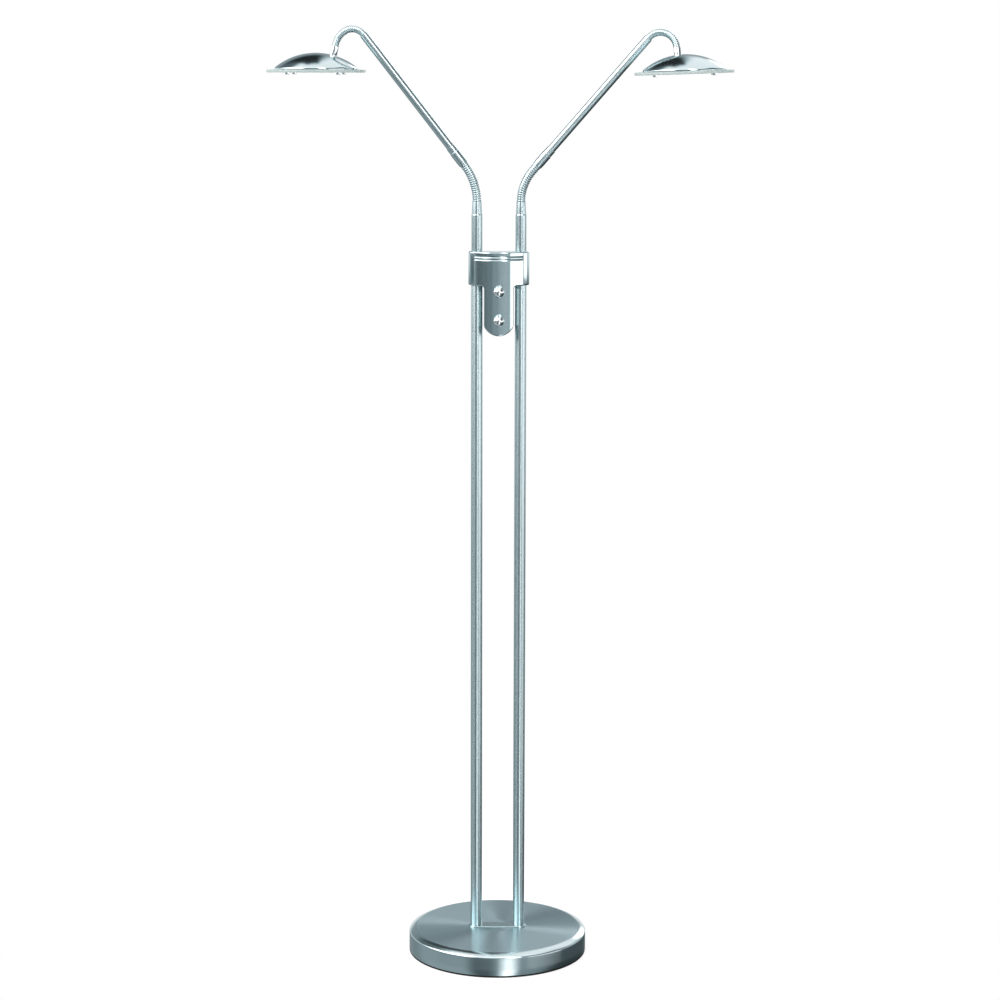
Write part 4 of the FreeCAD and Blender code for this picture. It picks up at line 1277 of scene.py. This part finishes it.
@dataclass
class ArmTube(Part):
    """The sleeve and the straight tube of one arm.

    Attributes:
        side: left or right.
        arm: The side's routes.
        sleeve_radius: Outer radius of the sleeve's grip.
        sleeve_slim: Its outer radius at both ends.
        grip: Length from its root to the end of the grip.
        radius: Outer radius of the tube.
    """

    side: str
    arm: Arm
    sleeve_radius: float = 6.8
    sleeve_slim: float = 6.35
    grip: float = 20.5
    radius: float = 5.7

    def build(self) -> None:
        """Makes the sleeve and the tube."""
        free = self.arm.pose.arm_free
        wide, slim, end = self.sleeve_radius, self.sleeve_slim, SLEEVE_LENGTH
        sleeve = rounded([
            (5.9, 3), (5.9, 0), (slim, 0, 0.25), (wide, 5.0, 0.8), (wide, self.grip, 0.3),
            (slim, self.grip + 0.5, 0.3), (slim, end, 0.4), (5.75, end)])
        tube = rounded([
            (self.radius, -free - 1.0), (self.radius, -120.0), (self.radius, -60.0),
            (self.radius, 0, 0.45), (4.95, 0, 0.15), (4.95, -4.0)])
        root = LOWER_HOSE.length
        rows = (("sleeve", sleeve, root), ("tube", tube, root + end + free))
        for name, profile, distance in rows:
            place = frame_at(*self.arm.lower.at(distance), FORWARD)
            piece = lathe(f"{name}_{self.side}", profile, SATIN_NICKEL, place)
            self.done(piece, f"{self.side}_arm", "satin_nickel", f"arm_{name}_{self.side}")


@dataclass
class Head(Part):
    """The dome, its fitting and the glass of one head.

    Attributes:
        side: left or right.
        arm: The side's routes.
        wall: Thickness of the dome.
        rim: Turn in radians from the rim's edge to the start of the curve.
        ferrule_radius: Outer radius of the neck fitting.
    """

    side: str
    arm: Arm
    wall: float = 1.2
    rim: float = 0.002
    ferrule_radius: float = 5.2

    def dome(self) -> list[Point]:
        """Draws the dome from inside its crown, round the rim, to the crown's top.

        Returns:
            Its profile.
        """
        edge = math.asin(DOME_RADIUS / DOME_SPHERE)
        centre, top = (0.0, DOME_CENTRE), math.pi / 2
        outer = arc(centre, DOME_SPHERE, top - edge + self.rim, top + self.rim, 40, 1)[:-1]
        inner = arc(centre, DOME_SPHERE - self.wall, top, top - edge, 20)[:-1]
        bottom = [(DOME_RADIUS - self.wall, DOME_RIM), (DOME_RADIUS - self.wall, 0.0),
                  (DOME_RADIUS - 0.3, 0.0), (DOME_RADIUS, 0.3), (DOME_RADIUS, DOME_RIM - 0.5),
                  (DOME_RADIUS - 0.15, DOME_RIM - 0.12)]
        return inner + bottom + outer + [(0.0, DOME_CENTRE + DOME_SPHERE)]

    def build(self) -> None:
        """Makes the head's pieces."""
        end, along = self.arm.upper.at(UPPER_HOSE.length)
        reach = FERRULE_LENGTH
        ferrule = rounded([(4.3, 0), (self.ferrule_radius, 0, 0.3),
                           (self.ferrule_radius, reach, 0.9), (3.8, reach)])
        root = frame_at(end, along, self.arm.upper.normal)
        low = -GLASS_THICKNESS
        disc = rounded([(50.0, low), (GLASS_RADIUS, low, 0.6), (GLASS_RADIUS, 0.0, 0.6),
                        (50.0, 0.0)], 3)
        disc = [(0.0, low)] + disc + [(0.0, 0.0)]
        head, side = self.arm.head, self.side
        for piece, slot, node in (
            (lathe(f"dome_{side}", self.dome(), DOME_NICKEL, head, 160, 30),
             "satin_nickel", "lamp_dome"),
            (lathe(f"ferrule_{side}", ferrule, BRIGHT_NICKEL, root, 72),
             "bright_nickel", "neck_ferrule"),
            (lathe(f"glass_{side}", disc, FROSTED_GLASS, head, 192, 60),
             "frosted_glass", "glass_disc"),
        ):
            self.done(piece, f"{side}_head", slot, f"{node}_{side}")


# ---------------------------------------------------------------- studio

@dataclass(frozen=True)
class Card:
    """A soft-edged panel that the metal reflects, seen from the lamp. Angles are in degrees.

    Attributes:
        turn: Direction of its middle: 0 towards the camera, more to the right.
        lift: Height of its middle above the horizon.
        wide: Its width.
        tall: Its height.
        level: Its brightness, where 1 is white.
        soft: Half the width of its soft edge.
    """

    turn: float
    lift: float
    wide: float
    tall: float
    level: float
    soft: float


# What stands round the lamp in the studio, from the broadest to the smallest
CARDS = (
    Card(0, -52, 360, 78, 0.34, 4),       # grey table
    Card(-80, -52, 84, 78, 0.5, 14),      # its lighter part, to the left
    Card(120, -40, 100, 66, 0.05, 22),    # dark floor, to the right
    Card(-21, -44, 30, 64, 0.13, 9),      # its darker part, in front
    Card(15, -44, 17, 62, 2.6, 9),        # the strip box's own reflection in the table
    Card(0, 76, 360, 40, 1.5, 6),         # ceiling
    Card(180, 3, 176, 20, 1.1, 6),        # white backdrop
    Card(180, 20, 176, 18, 0.40, 5),      # its shaded top
    Card(-169, 50, 32, 34, 0.025, 5),     # black flag above the backdrop
    Card(150, 56, 50, 56, 1.4, 8),        # lamp behind, to the right
    Card(157, 20, 14, 14, 7.0, 4),        # small lamp behind, to the right
    Card(-70, 36, 72, 56, 4.6, 8),        # tall soft box, to the left
    Card(22, 43, 16, 70, 7.0, 4),         # strip box, in front to the right
    Card(-8, 45, 42, 34, 2.2, 6),         # light above the camera
    # Wall, in steps from the left to the right
    *(Card(turn, -2, 26, 24, level, 5) for turn, level in (
        (-92, 0.40), (-68, 0.18), (-46, 0.22), (-26, 0.3), (-8, 0.44), (12, 0.55))),
    Card(30, -2, 20, 24, 0.62, 4),        # its right end
    Card(64, -1, 50, 19, 2.5, 2),         # low soft box, to the right
)
# Brightness where no card stands
SURROUND = 0.2


@dataclass(frozen=True)
class Studio:
    """Camera, floor, lamps and surroundings, in metres.

    Attributes:
        camera: The camera's place.
        pitch: Its tilt down, in radians.
        roll: Its roll, in radians.
        lens: Focal length in millimetres on the sensor below.
        sensor: Width of the sensor.
        floor: Radius of the floor and its height, in millimetres.
        shadow: Distances between which the floor's shadow fades.
        glow: The floor's own brightness under the lamp.
        lamps: Name, place, size and power of each lamp.
        aim: What the lamps point at.
        full_tint: Brightness from which the cards' tint stays the same.
        red: Change of a card's red with its brightness, and its red where it is dark.
        blue: The same for its blue.
    """

    camera: tuple[float, float, float] = (0.002344, -3.57635, 1.24272)
    pitch: float = 0.16503
    roll: float = 0.00247
    lens: float = 94.244
    sensor: float = 36.0
    floor: Point = (4000.0, -0.5)
    shadow: Point = (0.15, 0.7)
    glow: float = 0.72
    lamps: tuple[tuple[str, tuple[float, float, float], float, float], ...] = (
        ("key", (1.8, -2.0, 2.6), 1.2, 9.0), ("fill", (-2.2, -1.2, 1.8), 1.6, 4.0))
    aim: tuple[float, float, float] = (0.0, 0.0, 0.7)
    full_tint: float = 1.4
    red: Point = (0.2, 0.8)
    blue: Point = (-0.05, 1.07)

    def build(self) -> None:
        """Makes the whole studio."""
        self._camera()
        self._floor()
        self._lamps()
        self._world()
        bpy.context.scene.view_settings.view_transform = "Standard"

    def _camera(self) -> None:
        """Puts the camera at the photograph's angle."""
        data = bpy.data.cameras.new("camera")
        data.lens = self.lens
        data.sensor_width = self.sensor
        data.clip_end = 50.0
        camera = bpy.data.objects.new("camera", data)
        turn = (Matrix.Rotation(math.pi / 2 - self.pitch, 4, "X")
                @ Matrix.Rotation(self.roll, 4, "Z"))
        camera.matrix_world = Matrix.Translation(self.camera) @ turn
        bpy.context.scene.collection.objects.link(camera)
        bpy.context.scene.camera = camera

    def _floor(self) -> None:
        """Makes the pale floor, which fades into the white background away from the lamp."""
        floor = lathe("floor", [self.floor, (0.0, self.floor[1])], FLOOR_PAINT)
        floor.visible_glossy = False
        tree = floor.data.materials[0].node_tree
        where = add(tree, "ShaderNodeTexCoord").outputs["Object"]
        away = add(tree, "ShaderNodeVectorMath", (where,), operation="LENGTH").outputs["Value"]
        fade = add(tree, RANGE, {
            "Value": away, "From Min": self.shadow[0], "From Max": self.shadow[1],
            "To Min": self.glow, "To Max": 1.0}, interpolation_type="SMOOTHSTEP")
        rays = add(tree, "ShaderNodeLightPath").outputs
        seen = rays["Is Camera Ray"]
        for other in ("Is Transmission Ray", "Is Glossy Ray"):
            seen = add(tree, MATH, (seen, rays[other]), operation="MAXIMUM")
        share = add(tree, MATH, (seen, fade), operation="MULTIPLY")
        light = add(tree, "ShaderNodeEmission", ((1, 1, 1, 1), 1.0))
        mixed = add(tree, "ShaderNodeMixShader", (share, tree.nodes["Principled BSDF"], light))
        feed(tree, tree.nodes["Material Output"], {"Surface": mixed})

    def _lamps(self) -> None:
        """Adds the two soft lamps that light what isn't metal."""
        for name, place, size, power in self.lamps:
            data = bpy.data.lights.new(name, "AREA")
            data.shape = "DISK"
            data.size = size
            data.energy = power
            lamp = bpy.data.objects.new(name, data)
            lamp.location = place
            lamp.rotation_mode = "QUATERNION"
            towards = Vector(self.aim) - Vector(place)
            lamp.rotation_quaternion = towards.to_track_quat("-Z", "Y")
            lamp.visible_glossy = False
            bpy.context.scene.collection.objects.link(lamp)

    def _world(self) -> None:
        """Makes the white background, and the cards for what the metal reflects."""
        world = bpy.data.worlds.new("surroundings")
        bpy.context.scene.world = world
        world.use_nodes = True
        tree = world.node_tree
        tree.nodes.clear()
        where = add(tree, "ShaderNodeTexCoord").outputs["Generated"]
        x, y, z = add(tree, "ShaderNodeSeparateXYZ", (where,)).outputs
        front = add(tree, MATH, (y, -1.0), operation="MULTIPLY")
        angles = (add(tree, MATH, (x, front), operation="ARCTAN2"),
                  add(tree, MATH, (z,), operation="ARCSINE"))
        turn, lift = [add(tree, MATH, (angle,), operation="DEGREES") for angle in angles]
        level: Any = SURROUND
        for card in CARDS:
            across = add(tree, MATH, (turn, card.turn), operation="SUBTRACT")
            across = add(tree, MATH, (across, 180.0, -180.0), operation="WRAP")
            up = add(tree, MATH, (lift, card.lift), operation="SUBTRACT")
            # 1 between the card's sides, and 1 between its lower and upper edges
            within = [add(tree, RANGE, {
                "Value": add(tree, MATH, (away,), operation="ABSOLUTE"),
                "From Min": size / 2 - card.soft, "From Max": size / 2 + card.soft,
                "To Min": 1.0, "To Max": 0.0}, interpolation_type="SMOOTHSTEP")
                for away, size in ((across, card.wide), (up, card.tall))]
            cover = within[1]
            if card.wide < 360:
                cover = add(tree, MATH, within, operation="MULTIPLY")
            change = add(tree, MATH, (card.level, level), operation="SUBTRACT")
            level = add(tree, MATH, (cover, change, level), operation="MULTIPLY_ADD")
        # What is dark looks bluer than what is bright
        bright = add(tree, MATH, (level, self.full_tint), operation="MINIMUM")
        red, blue = [add(tree, MATH, (
            level, add(tree, MATH, (bright, *tint), operation="MULTIPLY_ADD")),
            operation="MULTIPLY") for tint in (self.red, self.blue)]
        colour = add(tree, "ShaderNodeCombineXYZ", (red, level, blue))
        rays = add(tree, "ShaderNodeLightPath").outputs
        white = add(tree, "ShaderNodeBackground", ((1, 1, 1, 1), 1.0))
        cards = add(tree, "ShaderNodeBackground", (colour, 1.0))
        clear = add(tree, MATH, (rays["Is Camera Ray"], rays["Is Transmission Ray"]),
                    operation="MAXIMUM")
        final = add(tree, "ShaderNodeMixShader", (clear, cards, white))
        add(tree, "ShaderNodeOutputWorld", (final,))


def dress_nodes() -> None:
    """Gives every CAD node the procedural finish of its slot."""
    slots = {entry["node"]: entry["material_slot"] for entry in frame["record"]["subparts"]}
    for name, obj in frame["nodes"].items():
        material = SLOT_FINISHES[slots[name]].build()
        obj.data.materials.clear()
        obj.data.materials.append(material)


def main() -> None:
    """Builds the scene in order."""
    logging.basicConfig(level=logging.INFO, format="%(name)s: %(message)s")
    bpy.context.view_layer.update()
    dress_nodes()
    Base().build()
    Poles().build()
    Bracket().build()
    for side, pose in POSES.items():
        arm = Arm(pose)
        joints = [f"{side}_{name}" for name in ("lower_neck", "arm", "upper_neck", "head")]
        Neck(side, "lower", arm.lower, LOWER_HOSE, ("stand", *joints[:2]), "top").build()
        ArmTube(side, arm).build()
        Neck(side, "upper", arm.upper, UPPER_HOSE, tuple(joints[1:]), "end").build()
        Head(side, arm).build()
    Studio().build()


if __name__ == "__main__":
    main()
